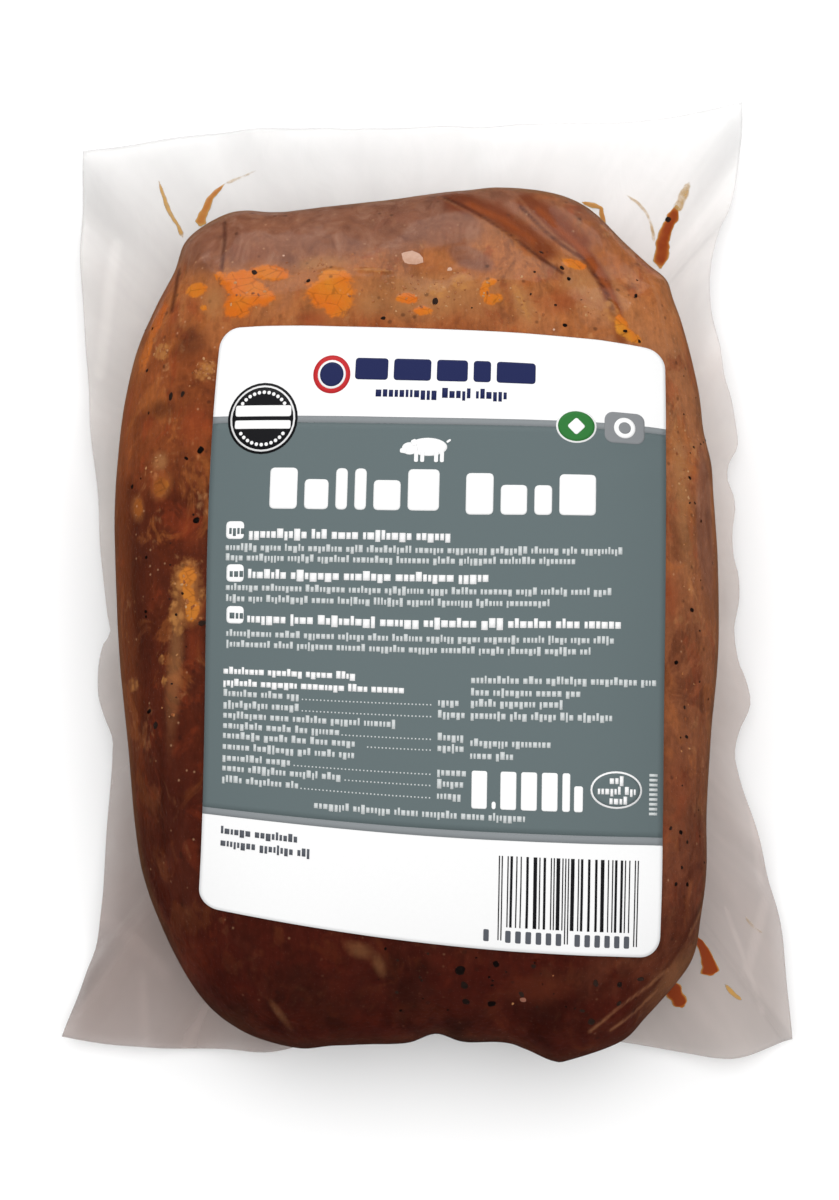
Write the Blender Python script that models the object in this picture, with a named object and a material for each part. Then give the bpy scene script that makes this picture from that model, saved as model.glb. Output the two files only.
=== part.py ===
# A vacuum-sealed clear pouch of pulled pork, lying on its back with its paper label up.
# Frame: +Z up, the label's head towards +Y, origin under the middle of the pack at table height.
# Sizes are in metres. The outlines are in millimetres, as they would be read off a ruler, and
# are measured from the middle of the filled body.

import math

import bmesh
import bpy
import numpy as np

MM = 0.001

# The filled body: how thick the pack is and how its rounded block is shaped.
PACK_HEIGHT = 0.071
WIDEST_HEIGHT = 0.032
REST_SINK = 0.0025
TOP_PLAN_POWER = 3.3
TOP_RISE_POWER = 2.25
RIM_FADE = 4.0
SIDE_PLAN_POWER = 3.6
SIDE_DROP_POWER = 2.6

# The sealed margins: two films welded into one thin flange. They tuck under the body's foot,
# droop at the corners and wave along the cut edge (height, length and phase of each wave).
FLANGE_THICKNESS = 0.0009
FLANGE_ROOT_HEIGHT = 0.0165
FLANGE_EDGE_HEIGHT = 0.0105
FLANGE_LOWEST = 0.0012
TUCK_ROOT_DROP = 0.008
TUCK_EDGE_DROP = 0.0045
TUCK_HALF_WIDTH = 0.088
TUCK_FADE = 0.040
CORNER_DROOP = 0.0055
CORNER_REACH = 0.045
EDGE_WAVES = ((0.0022, 0.047, 0.0), (0.0013, 0.029, 1.7))

# The label: a paper sheet with rounded corners that follows the top of the body. Its flat size,
# and where the left end, middle and right end of four of its rows come to lie, in millimetres.
LABEL_WIDTH = 0.126
LABEL_LENGTH = 0.170
LABEL_CORNER = 0.0055
LABEL_THICKNESS = 0.0004
LABEL_GAP = 0.00045
LABEL_CELLS = (20, 26)
LABEL_ROW_SHARES = (0.0, 0.144, 0.827, 1.0)
LABEL_ROWS = (
    ((-56.5, 60.1), (4.2, 58.6), (66.0, 55.0)),
    ((-58.3, 34.8), (3.3, 33.5), (65.7, 32.6)),
    ((-60.2, -73.2), (1.3, -79.6), (63.2, -81.8)),
    ((-61.5, -97.7), (0.8, -107.8), (62.7, -111.5)),
)
LABEL_CENTRE = (0.0025, -0.024)
LABEL_TURN = math.radians(-2.6)
LABEL_CLEARANCE = 0.002
LABEL_FADE = 0.012

# Plan of the filled body at its widest height, anticlockwise from the right side.
BODY_OUTLINE = [
    (83, -20), (83, 0), (82, 18), (81.5, 27), (79.5, 37), (78.5, 48), (75, 64), (71.5, 75),
    (69.5, 81.5), (64.5, 86), (57, 93), (50, 100.5), (44, 105), (36, 108), (25, 109.5), (12, 108.5),
    (0, 107), (-17, 105), (-36, 102), (-44.5, 101.5), (-53, 102.5), (-59, 101.5), (-66, 97),
    (-70.5, 92), (-73, 84), (-78, 74), (-83, 62), (-86, 50), (-88, 36), (-89, 16), (-88.5, -4),
    (-87, -29), (-84, -55), (-82, -75), (-79.5, -89), (-74, -103.5), (-67, -117), (-60, -126),
    (-52, -131.8), (-44, -135), (-34.5, -137), (-26, -136.2), (-9, -135.7), (8, -135.5),
    (21, -135.3), (27.5, -137.2), (35, -140.4), (40, -140), (54, -135), (61, -128.3), (69.5, -119),
    (74.5, -111.5), (76.5, -101), (78.3, -88), (78.8, -70), (80.5, -48), (82.3, -32),
]

# The middle of the whole pack in these outlines' axes, which becomes the origin.
PACK_MIDDLE = (0.00025, 0.00215)

# A small dent in the foot of the body: its place across, depth and half width.
NOTCH = (0.0026, 0.0026, 0.0052)
NOTCH_FADE = 8

# Plan of the film's cut edge, one list a side, from corner to corner, anticlockwise.
FILM_RIGHT = [
    (105.5, -135.2), (104, -117), (102.5, -100), (98.5, -87), (95, -73), (91, -58.5), (90, -52.5),
    (91.5, -46), (94, -41), (94.6, -37), (93, -31), (91, -26), (90.4, -17), (92.3, -8), (92, -1),
    (90.2, 5), (90, 12), (91.2, 19), (90.7, 24), (89.2, 28), (89.7, 33), (92, 37), (92.6, 41),
    (91, 51), (88.2, 59.5), (87.4, 70), (85.4, 82), (85.3, 93), (88.2, 104.5), (91.5, 111.5),
    (94.5, 124), (96.2, 136), (96, 145),
]
FILM_TOP = [
    (96, 145), (89, 143.3), (80, 142.3), (65, 139.6), (52.5, 138.3), (37.5, 136.7), (25, 138), (7, 136),
    (-20, 135.8), (-32, 137), (-45.5, 135.3), (-56, 135.2), (-68.5, 135.6), (-83, 133.2), (-96, 131),
    (-104, 129.7),
]
FILM_LEFT = [
    (-104, 129.7), (-104.3, 115), (-104, 100), (-102.3, 75), (-100, 50), (-98, 30), (-96, 8),
    (-93.7, -11), (-92.6, -17.6), (-95, -21.5), (-96.4, -28), (-96, -36), (-93.5, -43), (-91.2, -48.7),
    (-91.3, -54), (-92.3, -65), (-93.3, -83), (-93.7, -96), (-95.3, -107.5), (-98.8, -116),
    (-101.7, -125), (-105, -134.4),
]
FILM_BOTTOM = [
    (-105, -134.4), (-99.5, -135.5), (-92, -136.7), (-83, -137.4), (-73.5, -138), (-58, -138),
    (-42, -138.5), (-18, -131), (3, -129), (24, -131), (44, -135), (57, -136.2), (73.5, -139),
    (84, -140.6), (91, -140.2), (101.4, -136.8), (105.5, -135.2),
]
COLUMNS_PER_SIDE = (46, 26, 40, 30)

# Creases where the film is drawn tight across the shoulder of the meat: start, end, depth, half width.
CREASES = [
    ((6, 112), (46, 78), 2.0, 5.5),
    ((24, 110), (66, 66), 1.6, 5.0),
    ((-58, 106), (-60, 84), 1.3, 5.0),
    ((78, -72), (38, -136), 1.2, 5.0),
    ((-88, -26), (-58, -30), 1.0, 7.0),
]

# Soft lumps of meat under the film: height, length, heading and phase of each wave.
LUMPS = ((0.0010, 0.041, 20.0, 1.1), (0.0008, 0.053, 95.0, 0.4), (0.0006, 0.033, -50.0, 2.3))

# How far out each ring of the cage lies: over the top, and down to the table.
TOP_RINGS = (0.13, 0.26, 0.39, 0.51, 0.62, 0.71, 0.79, 0.86, 0.91, 0.95, 0.98, 0.995)
SIDE_RINGS = (0.0, 0.35, 0.7, 1.0)
FLANGE_RINGS = (0.3, 0.65, 1.0)
UNDER_RINGS = (1.0, 0.5, 0.0)
BASE_RINGS = (0.96, 0.88, 0.78, 0.62, 0.3)

BODY_COLOUR = (0.16, 0.045, 0.018, 1.0)
LABEL_COLOUR = (0.86, 0.86, 0.85, 1.0)


def smooth_curve(points, closed, steps=24):
    """Catmull-Rom curve through hand-placed millimetre points, in metres."""
    knots = np.array(points, float) * MM
    if closed:
        knots = np.vstack([knots[-1:], knots, knots[:2]])
    else:
        knots = np.vstack([2 * knots[0] - knots[1], knots, 2 * knots[-1] - knots[-2]])
    curve = []
    for before, start, end, after in zip(knots, knots[1:], knots[2:], knots[3:]):
        for step in range(steps):
            t = step / steps
            curve.append(0.5 * (2 * start + (end - before) * t
                                + (2 * before - 5 * start + 4 * end - after) * t * t
                                + (3 * start - before - 3 * end + after) * t ** 3))
    if not closed:
        curve.append(knots[-2])
    return np.array(curve)


def evenly_spaced(curve, count):
    """Points at equal distances along a curve, without its last one."""
    lengths = np.concatenate([[0.0], np.cumsum(np.hypot(*np.diff(curve, axis=0).T))])
    places = np.linspace(0.0, lengths[-1], count, endpoint=False)
    return np.column_stack([np.interp(places, lengths, curve[:, axis]) for axis in (0, 1)])


def film_edge():
    """The film's cut edge, one point for each column of the cage."""
    sides = (FILM_RIGHT, FILM_TOP, FILM_LEFT, FILM_BOTTOM)
    return np.vstack([evenly_spaced(smooth_curve(side, closed=False), count)
                      for side, count in zip(sides, COLUMNS_PER_SIDE)])


def reach_table():
    """Angles and radii of the body's outline, sorted so that a radius can be looked up."""
    curve = smooth_curve(BODY_OUTLINE, closed=True)
    angles = np.arctan2(curve[:, 1], curve[:, 0])
    order = np.argsort(angles)
    return angles[order], np.hypot(curve[:, 0], curve[:, 1])[order]


REACH_ANGLES, REACH_RADII = reach_table()
FILM_CORNERS = [np.array(side[0]) * MM for side in (FILM_RIGHT, FILM_TOP, FILM_LEFT, FILM_BOTTOM)]


def body_reach(x, y):
    """How far the body reaches from the middle in the direction of a point."""
    return float(np.interp(math.atan2(y, x), REACH_ANGLES, REACH_RADII, period=2 * math.pi))


def ease(share):
    """0 to 1 with a soft start and end."""
    share = min(1.0, max(0.0, share))
    return share * share * (3 - 2 * share)


def distance_to_segment(x, y, start, end):
    """Distance from a point to a straight run, in metres."""
    here, head, tail = np.array((x, y)), np.array(start) * MM, np.array(end) * MM
    along = tail - head
    share = min(1.0, max(0.0, float(np.dot(here - head, along) / np.dot(along, along))))
    return float(np.hypot(*(here - head - share * along)))


def label_frame(x, y):
    """A point in the label's own axes, measured from its middle."""
    dx, dy = x - LABEL_CENTRE[0], y - LABEL_CENTRE[1]
    turn = -LABEL_TURN
    return dx * math.cos(turn) - dy * math.sin(turn), dx * math.sin(turn) + dy * math.cos(turn)


def clear_of_label(x, y):
    """0 under the label, rising to 1 a short way outside it."""
    across, along = label_frame(x, y)
    outside = max(abs(across) - LABEL_WIDTH / 2, abs(along) - LABEL_LENGTH / 2)
    return ease((outside - LABEL_CLEARANCE) / LABEL_FADE)


def relief(x, y):
    """Soft lumps of meat and the tight creases across them, as a change of height."""
    height = 0.0
    for rise, length, heading, phase in LUMPS:
        along = x * math.cos(math.radians(heading)) + y * math.sin(math.radians(heading))
        height += rise * math.sin(2 * math.pi * along / length + phase)
    for start, end, depth, half_width in CREASES:
        away = distance_to_segment(x, y, start, end) / (half_width * MM)
        height -= depth * MM * math.exp(-away * away)
    return height * clear_of_label(x, y)


def top_height(x, y):
    """Height of the body's upper surface over any point inside its outline."""
    out = min(1.0, math.hypot(x, y) / body_reach(x, y))
    dome = (1.0 - out ** TOP_PLAN_POWER) ** (1.0 / TOP_RISE_POWER)
    rim = min(1.0, RIM_FADE * dome)
    return WIDEST_HEIGHT + (PACK_HEIGHT - WIDEST_HEIGHT) * dome + relief(x, y) * rim


def side_reach(height):
    """Share of the body's reach that is left at a height below its widest one."""
    drop = (WIDEST_HEIGHT - height) / (WIDEST_HEIGHT + REST_SINK)
    return (1.0 - drop ** SIDE_DROP_POWER) ** (1.0 / SIDE_PLAN_POWER)


def tuck(x, y):
    """1 where the foot of the body bulges over the short lower margin, 0 elsewhere."""
    return ease((TUCK_HALF_WIDTH - abs(x)) / TUCK_FADE) if y < 0 else 0.0


def notch(x, y):
    """How far the small dent in the foot of the body pulls its rim in."""
    place, depth, half_width = NOTCH
    return depth * math.exp(-((x - place) / half_width) ** 2) if y < 0 else 0.0


def flange_height(edge, out, travelled):
    """Height of the flange's upper face, from its root (out 0) to its cut edge (out 1)."""
    root_height = FLANGE_ROOT_HEIGHT - TUCK_ROOT_DROP * tuck(*edge)
    edge_height = FLANGE_EDGE_HEIGHT - TUCK_EDGE_DROP * tuck(*edge)
    nearest = min(float(np.hypot(*(edge - corner))) for corner in FILM_CORNERS)
    droop = CORNER_DROOP * math.exp(-(nearest / CORNER_REACH) ** 2)
    wave = sum(rise * math.sin(2 * math.pi * travelled / length + phase)
               for rise, length, phase in EDGE_WAVES)
    height = root_height + (edge_height - root_height) * out + (wave - droop) * out * out
    return max(height, FLANGE_LOWEST + FLANGE_THICKNESS)


def column_section(edge, travelled):
    """Points of one column of the cage, from the top of the dome to the middle of the base."""
    direction = edge / np.hypot(*edge)
    reach = body_reach(*edge)
    root_height = flange_height(edge, 0.0, travelled)
    root_share = side_reach(root_height)
    root = reach * root_share
    span = float(np.hypot(*edge)) - root

    points = []
    for share in TOP_RINGS:
        plan = direction * reach * share
        dented = direction * (reach * share - notch(*plan) * share ** NOTCH_FADE)
        points.append((*dented, top_height(*plan)))
    for share in SIDE_RINGS:
        height = WIDEST_HEIGHT + (root_height - WIDEST_HEIGHT) * share
        plan = direction * reach * side_reach(height)
        dented = direction * (reach * side_reach(height) - notch(*plan) * (1 - share))
        points.append((*dented, height))
    for share in FLANGE_RINGS:
        plan = direction * (root + span * share)
        points.append((*plan, flange_height(edge, share, travelled)))
    for share in UNDER_RINGS:
        plan = direction * (root + span * share)
        points.append((*plan, flange_height(edge, share, travelled) - FLANGE_THICKNESS))
    for share in BASE_RINGS:
        out = root_share * share
        drop = (1.0 - out ** SIDE_PLAN_POWER) ** (1.0 / SIDE_DROP_POWER)
        height = WIDEST_HEIGHT - (WIDEST_HEIGHT + REST_SINK) * drop
        points.append((*(direction * reach * out), max(0.0, height)))
    return points


def make_pouch():
    """The filled bag: a globe's cage whose columns and rings are laid along the sections."""
    edge = film_edge()
    steps = np.hypot(*(np.roll(edge, -1, axis=0) - edge).T)
    travelled = np.concatenate([[0.0], np.cumsum(steps)[:-1]])
    sections = [column_section(point, place) for point, place in zip(edge, travelled)]
    columns, rings = len(sections), len(sections[0])

    cage = bmesh.new()
    bmesh.ops.create_uvsphere(cage, u_segments=columns, v_segments=rings + 1, radius=1.0)
    for vert in cage.verts:
        ring = round(math.acos(max(-1.0, min(1.0, vert.co.z))) / math.pi * (rings + 1))
        column = round(math.atan2(vert.co.y, vert.co.x) / (2 * math.pi) * columns) % columns
        if ring == 0:
            vert.co = (0.0, 0.0, top_height(0.0, 0.0))
        elif ring == rings + 1:
            vert.co = (0.0, 0.0, 0.0)
        else:
            vert.co = sections[column][ring - 1]
    bmesh.ops.triangulate(cage, faces=cage.faces)
    return finish("pouch", cage, BODY_COLOUR, roughness=0.25)


def grid_places(length, cells):
    """Places of the label's grid lines from its middle, with finer cells at the corners."""
    half, corner = length / 2, LABEL_CORNER
    middle = np.linspace(-half + corner, half - corner, cells - 3)
    ends = np.array([half - corner / 2, half])
    return np.concatenate([-ends[::-1], middle, ends])


def round_corner(across, along):
    """Pull the outermost cells of a corner onto its quarter circle."""
    in_x = (abs(across) - (LABEL_WIDTH / 2 - LABEL_CORNER)) / LABEL_CORNER
    in_y = (abs(along) - (LABEL_LENGTH / 2 - LABEL_CORNER)) / LABEL_CORNER
    if in_x <= 1e-9 or in_y <= 1e-9:
        return across, along
    pull = max(in_x, in_y) / math.hypot(in_x, in_y)
    x = LABEL_WIDTH / 2 - LABEL_CORNER + in_x * pull * LABEL_CORNER
    y = LABEL_LENGTH / 2 - LABEL_CORNER + in_y * pull * LABEL_CORNER
    return math.copysign(x, across), math.copysign(y, along)


def weights(places, place):
    """How much each of a few measured places counts at a place between them (Lagrange)."""
    shares = []
    for mine in places:
        others = [other for other in places if other != mine]
        shares.append(math.prod((place - other) / (mine - other) for other in others))
    return shares


def label_point(across, along):
    """Where a point of the flat label, measured from its middle, comes to lie on the pack."""
    row_shares = weights(LABEL_ROW_SHARES, 0.5 - along / LABEL_LENGTH)
    end_shares = weights((0.0, 0.5, 1.0), 0.5 + across / LABEL_WIDTH)
    rows = np.array(LABEL_ROWS) * MM
    x, y = np.einsum("i,j,ijk->k", row_shares, end_shares, rows)
    return x, y, top_height(x, y) + LABEL_GAP


def make_label():
    """The paper label, a grid draped over the dome and given its thickness."""
    cells_across, cells_along = LABEL_CELLS
    sheet = bmesh.new()
    bmesh.ops.create_grid(sheet, x_segments=cells_across, y_segments=cells_along, size=1.0)
    places_across = grid_places(LABEL_WIDTH, cells_across)
    places_along = grid_places(LABEL_LENGTH, cells_along)
    for vert in sheet.verts:
        column = round((vert.co.x + 1) / 2 * cells_across)
        row = round((vert.co.y + 1) / 2 * cells_along)
        vert.co = label_point(*round_corner(places_across[column], places_along[row]))
    label = finish("label", sheet, LABEL_COLOUR, roughness=0.6)
    thickness = label.modifiers.new("thickness", "SOLIDIFY")
    thickness.thickness = LABEL_THICKNESS
    thickness.offset = 1.0
    return label


def finish(name, cage, colour, roughness):
    """Turn a cage into a named object with its own material, the pack's middle at the origin."""
    bmesh.ops.translate(cage, verts=cage.verts, vec=(-PACK_MIDDLE[0], -PACK_MIDDLE[1], 0.0))
    mesh = bpy.data.meshes.new(name)
    cage.to_mesh(mesh)
    cage.free()
    mesh.shade_smooth()
    piece = bpy.data.objects.new(name, mesh)
    bpy.context.scene.collection.objects.link(piece)
    material = bpy.data.materials.new(name)
    material.use_nodes = True
    shader = material.node_tree.nodes["Principled BSDF"]
    shader.inputs["Base Color"].default_value = colour
    shader.inputs["Roughness"].default_value = roughness
    shader.inputs["Metallic"].default_value = 0.0
    mesh.materials.append(material)
    return piece


def main():
    for thing in list(bpy.data.objects):
        bpy.data.objects.remove(thing, do_unlink=True)
    make_pouch()
    make_label()


main()
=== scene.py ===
# %% [markdown]
# # A vacuum pouch of pulled pork
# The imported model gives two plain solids: the filled bag and its label. This lesson dresses them.
# The bag becomes marinated meat under tight clear film with wavy welded margins, and the label
# becomes draped paper with its print. Everything is in metres in the model's own frame, so each
# piece is built where it lies and needs no fitting.

import math
import random

import bmesh
import bpy
import numpy as np
from mathutils import Matrix, Vector, noise
from mathutils.bvhtree import BVHTree


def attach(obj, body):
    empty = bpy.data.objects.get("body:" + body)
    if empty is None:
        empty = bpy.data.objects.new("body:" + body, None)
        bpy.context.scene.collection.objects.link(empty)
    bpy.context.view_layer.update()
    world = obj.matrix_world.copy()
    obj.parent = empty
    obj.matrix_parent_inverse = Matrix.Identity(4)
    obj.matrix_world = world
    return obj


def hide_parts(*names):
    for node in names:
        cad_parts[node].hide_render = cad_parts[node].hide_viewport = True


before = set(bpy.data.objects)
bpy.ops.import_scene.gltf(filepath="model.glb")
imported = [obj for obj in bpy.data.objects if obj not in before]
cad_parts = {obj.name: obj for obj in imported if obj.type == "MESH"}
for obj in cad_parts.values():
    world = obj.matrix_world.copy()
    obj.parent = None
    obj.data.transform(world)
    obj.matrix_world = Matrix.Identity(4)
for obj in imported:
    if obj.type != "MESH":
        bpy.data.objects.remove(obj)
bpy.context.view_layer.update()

# %% [markdown]
# ## The pack's measures
# A vacuum pack is a rounded block: the air is drawn out, so the film lies on the meat like a skin.
# Its plan was measured as an outline, and its top as a dome that is flat in the middle and drops
# at the rim. The same measures made the solid, so the skin made from them lies on it exactly. The
# outlines are in millimetres from the middle of the body.

# %% Sizes of the filled body and its margins
MM = 0.001
PACK_HEIGHT = 0.071
WIDEST_HEIGHT = 0.032
REST_SINK = 0.0025
TOP_PLAN_POWER = 3.3
TOP_RISE_POWER = 2.25
RIM_FADE = 4.0
SIDE_PLAN_POWER = 3.6
SIDE_DROP_POWER = 2.6
FLANGE_THICKNESS = 0.0009
FLANGE_ROOT_HEIGHT = 0.0165
FLANGE_EDGE_HEIGHT = 0.0105
FLANGE_LOWEST = 0.0012
TUCK_ROOT_DROP = 0.008
TUCK_EDGE_DROP = 0.0045
TUCK_HALF_WIDTH = 0.088
TUCK_FADE = 0.040
CORNER_DROOP = 0.0055
CORNER_REACH = 0.045
EDGE_WAVES = ((0.0022, 0.047, 0.0), (0.0013, 0.029, 1.7))
PACK_MIDDLE = (0.00025, 0.00215)
NOTCH = (0.0026, 0.0026, 0.0052)
NOTCH_FADE = 8
LUMPS = ((0.0010, 0.041, 20.0, 1.1), (0.0008, 0.053, 95.0, 0.4), (0.0006, 0.033, -50.0, 2.3))
CREASES = [
    ((6, 112), (46, 78), 2.0, 5.5),
    ((24, 110), (66, 66), 1.6, 5.0),
    ((-58, 106), (-60, 84), 1.3, 5.0),
    ((78, -72), (38, -136), 1.2, 5.0),
    ((-88, -26), (-58, -30), 1.0, 7.0),
]
BODY_OUTLINE = [
    (83, -20), (83, 0), (82, 18), (81.5, 27), (79.5, 37), (78.5, 48), (75, 64), (71.5, 75),
    (69.5, 81.5), (64.5, 86), (57, 93), (50, 100.5), (44, 105), (36, 108), (25, 109.5), (12, 108.5),
    (0, 107), (-17, 105), (-36, 102), (-44.5, 101.5), (-53, 102.5), (-59, 101.5), (-66, 97),
    (-70.5, 92), (-73, 84), (-78, 74), (-83, 62), (-86, 50), (-88, 36), (-89, 16), (-88.5, -4),
    (-87, -29), (-84, -55), (-82, -75), (-79.5, -89), (-74, -103.5), (-67, -117), (-60, -126),
    (-52, -131.8), (-44, -135), (-34.5, -137), (-26, -136.2), (-9, -135.7), (8, -135.5),
    (21, -135.3), (27.5, -137.2), (35, -140.4), (40, -140), (54, -135), (61, -128.3), (69.5, -119),
    (74.5, -111.5), (76.5, -101), (78.3, -88), (78.8, -70), (80.5, -48), (82.3, -32),
]
FILM_RIGHT = [
    (105.5, -135.2), (104, -117), (102.5, -100), (98.5, -87), (95, -73), (91, -58.5), (90, -52.5),
    (91.5, -46), (94, -41), (94.6, -37), (93, -31), (91, -26), (90.4, -17), (92.3, -8), (92, -1),
    (90.2, 5), (90, 12), (91.2, 19), (90.7, 24), (89.2, 28), (89.7, 33), (92, 37), (92.6, 41),
    (91, 51), (88.2, 59.5), (87.4, 70), (85.4, 82), (85.3, 93), (88.2, 104.5), (91.5, 111.5),
    (94.5, 124), (96.2, 136), (96, 145),
]
FILM_TOP = [
    (96, 145), (89, 143.3), (80, 142.3), (65, 139.6), (52.5, 138.3), (37.5, 136.7), (25, 138), (7, 136),
    (-20, 135.8), (-32, 137), (-45.5, 135.3), (-56, 135.2), (-68.5, 135.6), (-83, 133.2), (-96, 131),
    (-104, 129.7),
]
FILM_LEFT = [
    (-104, 129.7), (-104.3, 115), (-104, 100), (-102.3, 75), (-100, 50), (-98, 30), (-96, 8),
    (-93.7, -11), (-92.6, -17.6), (-95, -21.5), (-96.4, -28), (-96, -36), (-93.5, -43), (-91.2, -48.7),
    (-91.3, -54), (-92.3, -65), (-93.3, -83), (-93.7, -96), (-95.3, -107.5), (-98.8, -116),
    (-101.7, -125), (-105, -134.4),
]
FILM_BOTTOM = [
    (-105, -134.4), (-99.5, -135.5), (-92, -136.7), (-83, -137.4), (-73.5, -138), (-58, -138),
    (-42, -138.5), (-18, -131), (3, -129), (24, -131), (44, -135), (57, -136.2), (73.5, -139),
    (84, -140.6), (91, -140.2), (101.4, -136.8), (105.5, -135.2),
]

# %% Sizes of the label
LABEL_WIDTH = 0.126
LABEL_LENGTH = 0.170
LABEL_CORNER = 0.0055
LABEL_ROW_SHARES = (0.0, 0.144, 0.827, 1.0)
LABEL_ROWS = (
    ((-56.5, 60.1), (4.2, 58.6), (66.0, 55.0)),
    ((-58.3, 34.8), (3.3, 33.5), (65.7, 32.6)),
    ((-60.2, -73.2), (1.3, -79.6), (63.2, -81.8)),
    ((-61.5, -97.7), (0.8, -107.8), (62.7, -111.5)),
)
LABEL_CENTRE = (0.0025, -0.024)
LABEL_TURN = math.radians(-2.6)
LABEL_CLEARANCE = 0.002
LABEL_FADE = 0.012

# %% [markdown]
# ## Curves and heights
# The outlines are drawn with few points, so a smooth curve is laid through them first. Numpy
# works on whole arrays of points at once, which matters here: the skin has tens of thousands.


# %% A smooth curve through the outline's points
def smooth_curve(points, closed, steps=24):
    """A soft curve through millimetre points, in metres."""
    knots = np.array(points, float) * MM
    if closed:
        knots = np.vstack([knots[-1:], knots, knots[:2]])
    else:
        knots = np.vstack([2 * knots[0] - knots[1], knots, 2 * knots[-1] - knots[-2]])
    t = (np.arange(steps) / steps)[None, :, None]
    before, start, end, after = (knots[i:len(knots) - 3 + i, None] for i in range(4))
    curve = 0.5 * (2 * start + (end - before) * t
                   + (2 * before - 5 * start + 4 * end - after) * t * t
                   + (3 * start - before - 3 * end + after) * t ** 3)
    curve = curve.reshape(-1, 2)
    return curve if closed else np.vstack([curve, knots[-2]])


def evenly_spaced(curve, count):
    """Points at equal distances along a curve, without its last one."""
    lengths = np.concatenate([[0.0], np.cumsum(np.hypot(*np.diff(curve, axis=0).T))])
    places = np.linspace(0.0, lengths[-1], count, endpoint=False)
    return np.column_stack([np.interp(places, lengths, curve[:, axis]) for axis in (0, 1)])


def film_edge(counts):
    """The film's cut edge, with a number of points for each of its four sides."""
    sides = (FILM_RIGHT, FILM_TOP, FILM_LEFT, FILM_BOTTOM)
    return np.vstack([evenly_spaced(smooth_curve(side, closed=False), count)
                      for side, count in zip(sides, counts)])


body_curve = smooth_curve(BODY_OUTLINE, closed=True)
body_angles = np.arctan2(body_curve[:, 1], body_curve[:, 0])
angle_order = np.argsort(body_angles)
REACH_ANGLES = body_angles[angle_order]
REACH_RADII = np.hypot(*body_curve.T)[angle_order]
FILM_CORNERS = [np.array(side[0]) * MM for side in (FILM_RIGHT, FILM_TOP, FILM_LEFT, FILM_BOTTOM)]
print("body outline points:", len(body_curve))


# %% Height of the body over any point of its plan
def body_reach(x, y):
    """How far the body reaches from its middle in the direction of a point."""
    return np.interp(np.arctan2(y, x), REACH_ANGLES, REACH_RADII, period=2 * math.pi)


def ease(share):
    """0 to 1 with a soft start and end."""
    share = np.clip(share, 0.0, 1.0)
    return share * share * (3 - 2 * share)


def distance_to_run(x, y, start, end):
    """Distance from points to a straight run given in millimetres."""
    head = np.array(start) * MM
    along = np.array(end) * MM - head
    dx, dy = x - head[0], y - head[1]
    share = np.clip((dx * along[0] + dy * along[1]) / np.dot(along, along), 0.0, 1.0)
    return np.hypot(dx - share * along[0], dy - share * along[1])


def clear_of_label(x, y):
    """0 under the label, rising to 1 a short way outside it."""
    dx, dy = x - LABEL_CENTRE[0], y - LABEL_CENTRE[1]
    cos, sin = math.cos(-LABEL_TURN), math.sin(-LABEL_TURN)
    across, along = dx * cos - dy * sin, dx * sin + dy * cos
    outside = np.maximum(abs(across) - LABEL_WIDTH / 2, abs(along) - LABEL_LENGTH / 2)
    return ease((outside - LABEL_CLEARANCE) / LABEL_FADE)


def relief(x, y):
    """Soft lumps of meat and the tight creases across them, as a change of height."""
    height = 0.0
    for rise, length, heading, phase in LUMPS:
        along = x * math.cos(math.radians(heading)) + y * math.sin(math.radians(heading))
        height = height + rise * np.sin(2 * math.pi * along / length + phase)
    for start, end, depth, half_width in CREASES:
        away = distance_to_run(x, y, start, end) / (half_width * MM)
        height = height - depth * MM * np.exp(-away * away)
    return height * clear_of_label(x, y)


def top_height(x, y):
    """Height of the body's upper surface over points inside its outline."""
    out = np.minimum(1.0, np.hypot(x, y) / body_reach(x, y))
    dome = (1.0 - out ** TOP_PLAN_POWER) ** (1.0 / TOP_RISE_POWER)
    rim = np.minimum(1.0, RIM_FADE * dome)
    return WIDEST_HEIGHT + (PACK_HEIGHT - WIDEST_HEIGHT) * dome + relief(x, y) * rim


print("height in the middle:", round(float(top_height(0.0, 0.0)), 4))


# %% Below the widest line, and out along the margins
def side_reach(height):
    """Share of the body's reach that is left at a height below its widest one."""
    drop = (WIDEST_HEIGHT - height) / (WIDEST_HEIGHT + REST_SINK)
    return (1.0 - drop ** SIDE_DROP_POWER) ** (1.0 / SIDE_PLAN_POWER)


def tuck(x, y):
    """1 where the foot of the body bulges over the short lower margin, 0 elsewhere."""
    return np.where(y < 0, ease((TUCK_HALF_WIDTH - abs(x)) / TUCK_FADE), 0.0)


def notch(x, y):
    """How far the small dent in the foot of the body pulls its rim in."""
    place, depth, half_width = NOTCH
    return np.where(y < 0, depth * np.exp(-((x - place) / half_width) ** 2), 0.0)


def flange_height(edge, out, travelled):
    """Height of the margin's upper face, from its root (out 0) to its cut edge (out 1)."""
    root_height = FLANGE_ROOT_HEIGHT - TUCK_ROOT_DROP * tuck(*edge.T)
    edge_height = FLANGE_EDGE_HEIGHT - TUCK_EDGE_DROP * tuck(*edge.T)
    nearest = np.min([np.hypot(*(edge - corner).T) for corner in FILM_CORNERS], axis=0)
    droop = CORNER_DROOP * np.exp(-(nearest / CORNER_REACH) ** 2)
    wave = sum(rise * np.sin(2 * math.pi * travelled / length + phase)
               for rise, length, phase in EDGE_WAVES)
    height = root_height + (edge_height - root_height) * out + (wave - droop) * out * out
    return np.maximum(height, FLANGE_LOWEST + FLANGE_THICKNESS)


def dome_ring(directions, reach, share):
    """One ring of points over the top, at a share of the way out to the rim."""
    plan = directions * (reach * share)[:, None]
    dent = notch(*plan.T) * share ** NOTCH_FADE
    dented = directions * (reach * share - dent)[:, None]
    return np.column_stack([dented, top_height(*plan.T)])


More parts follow.
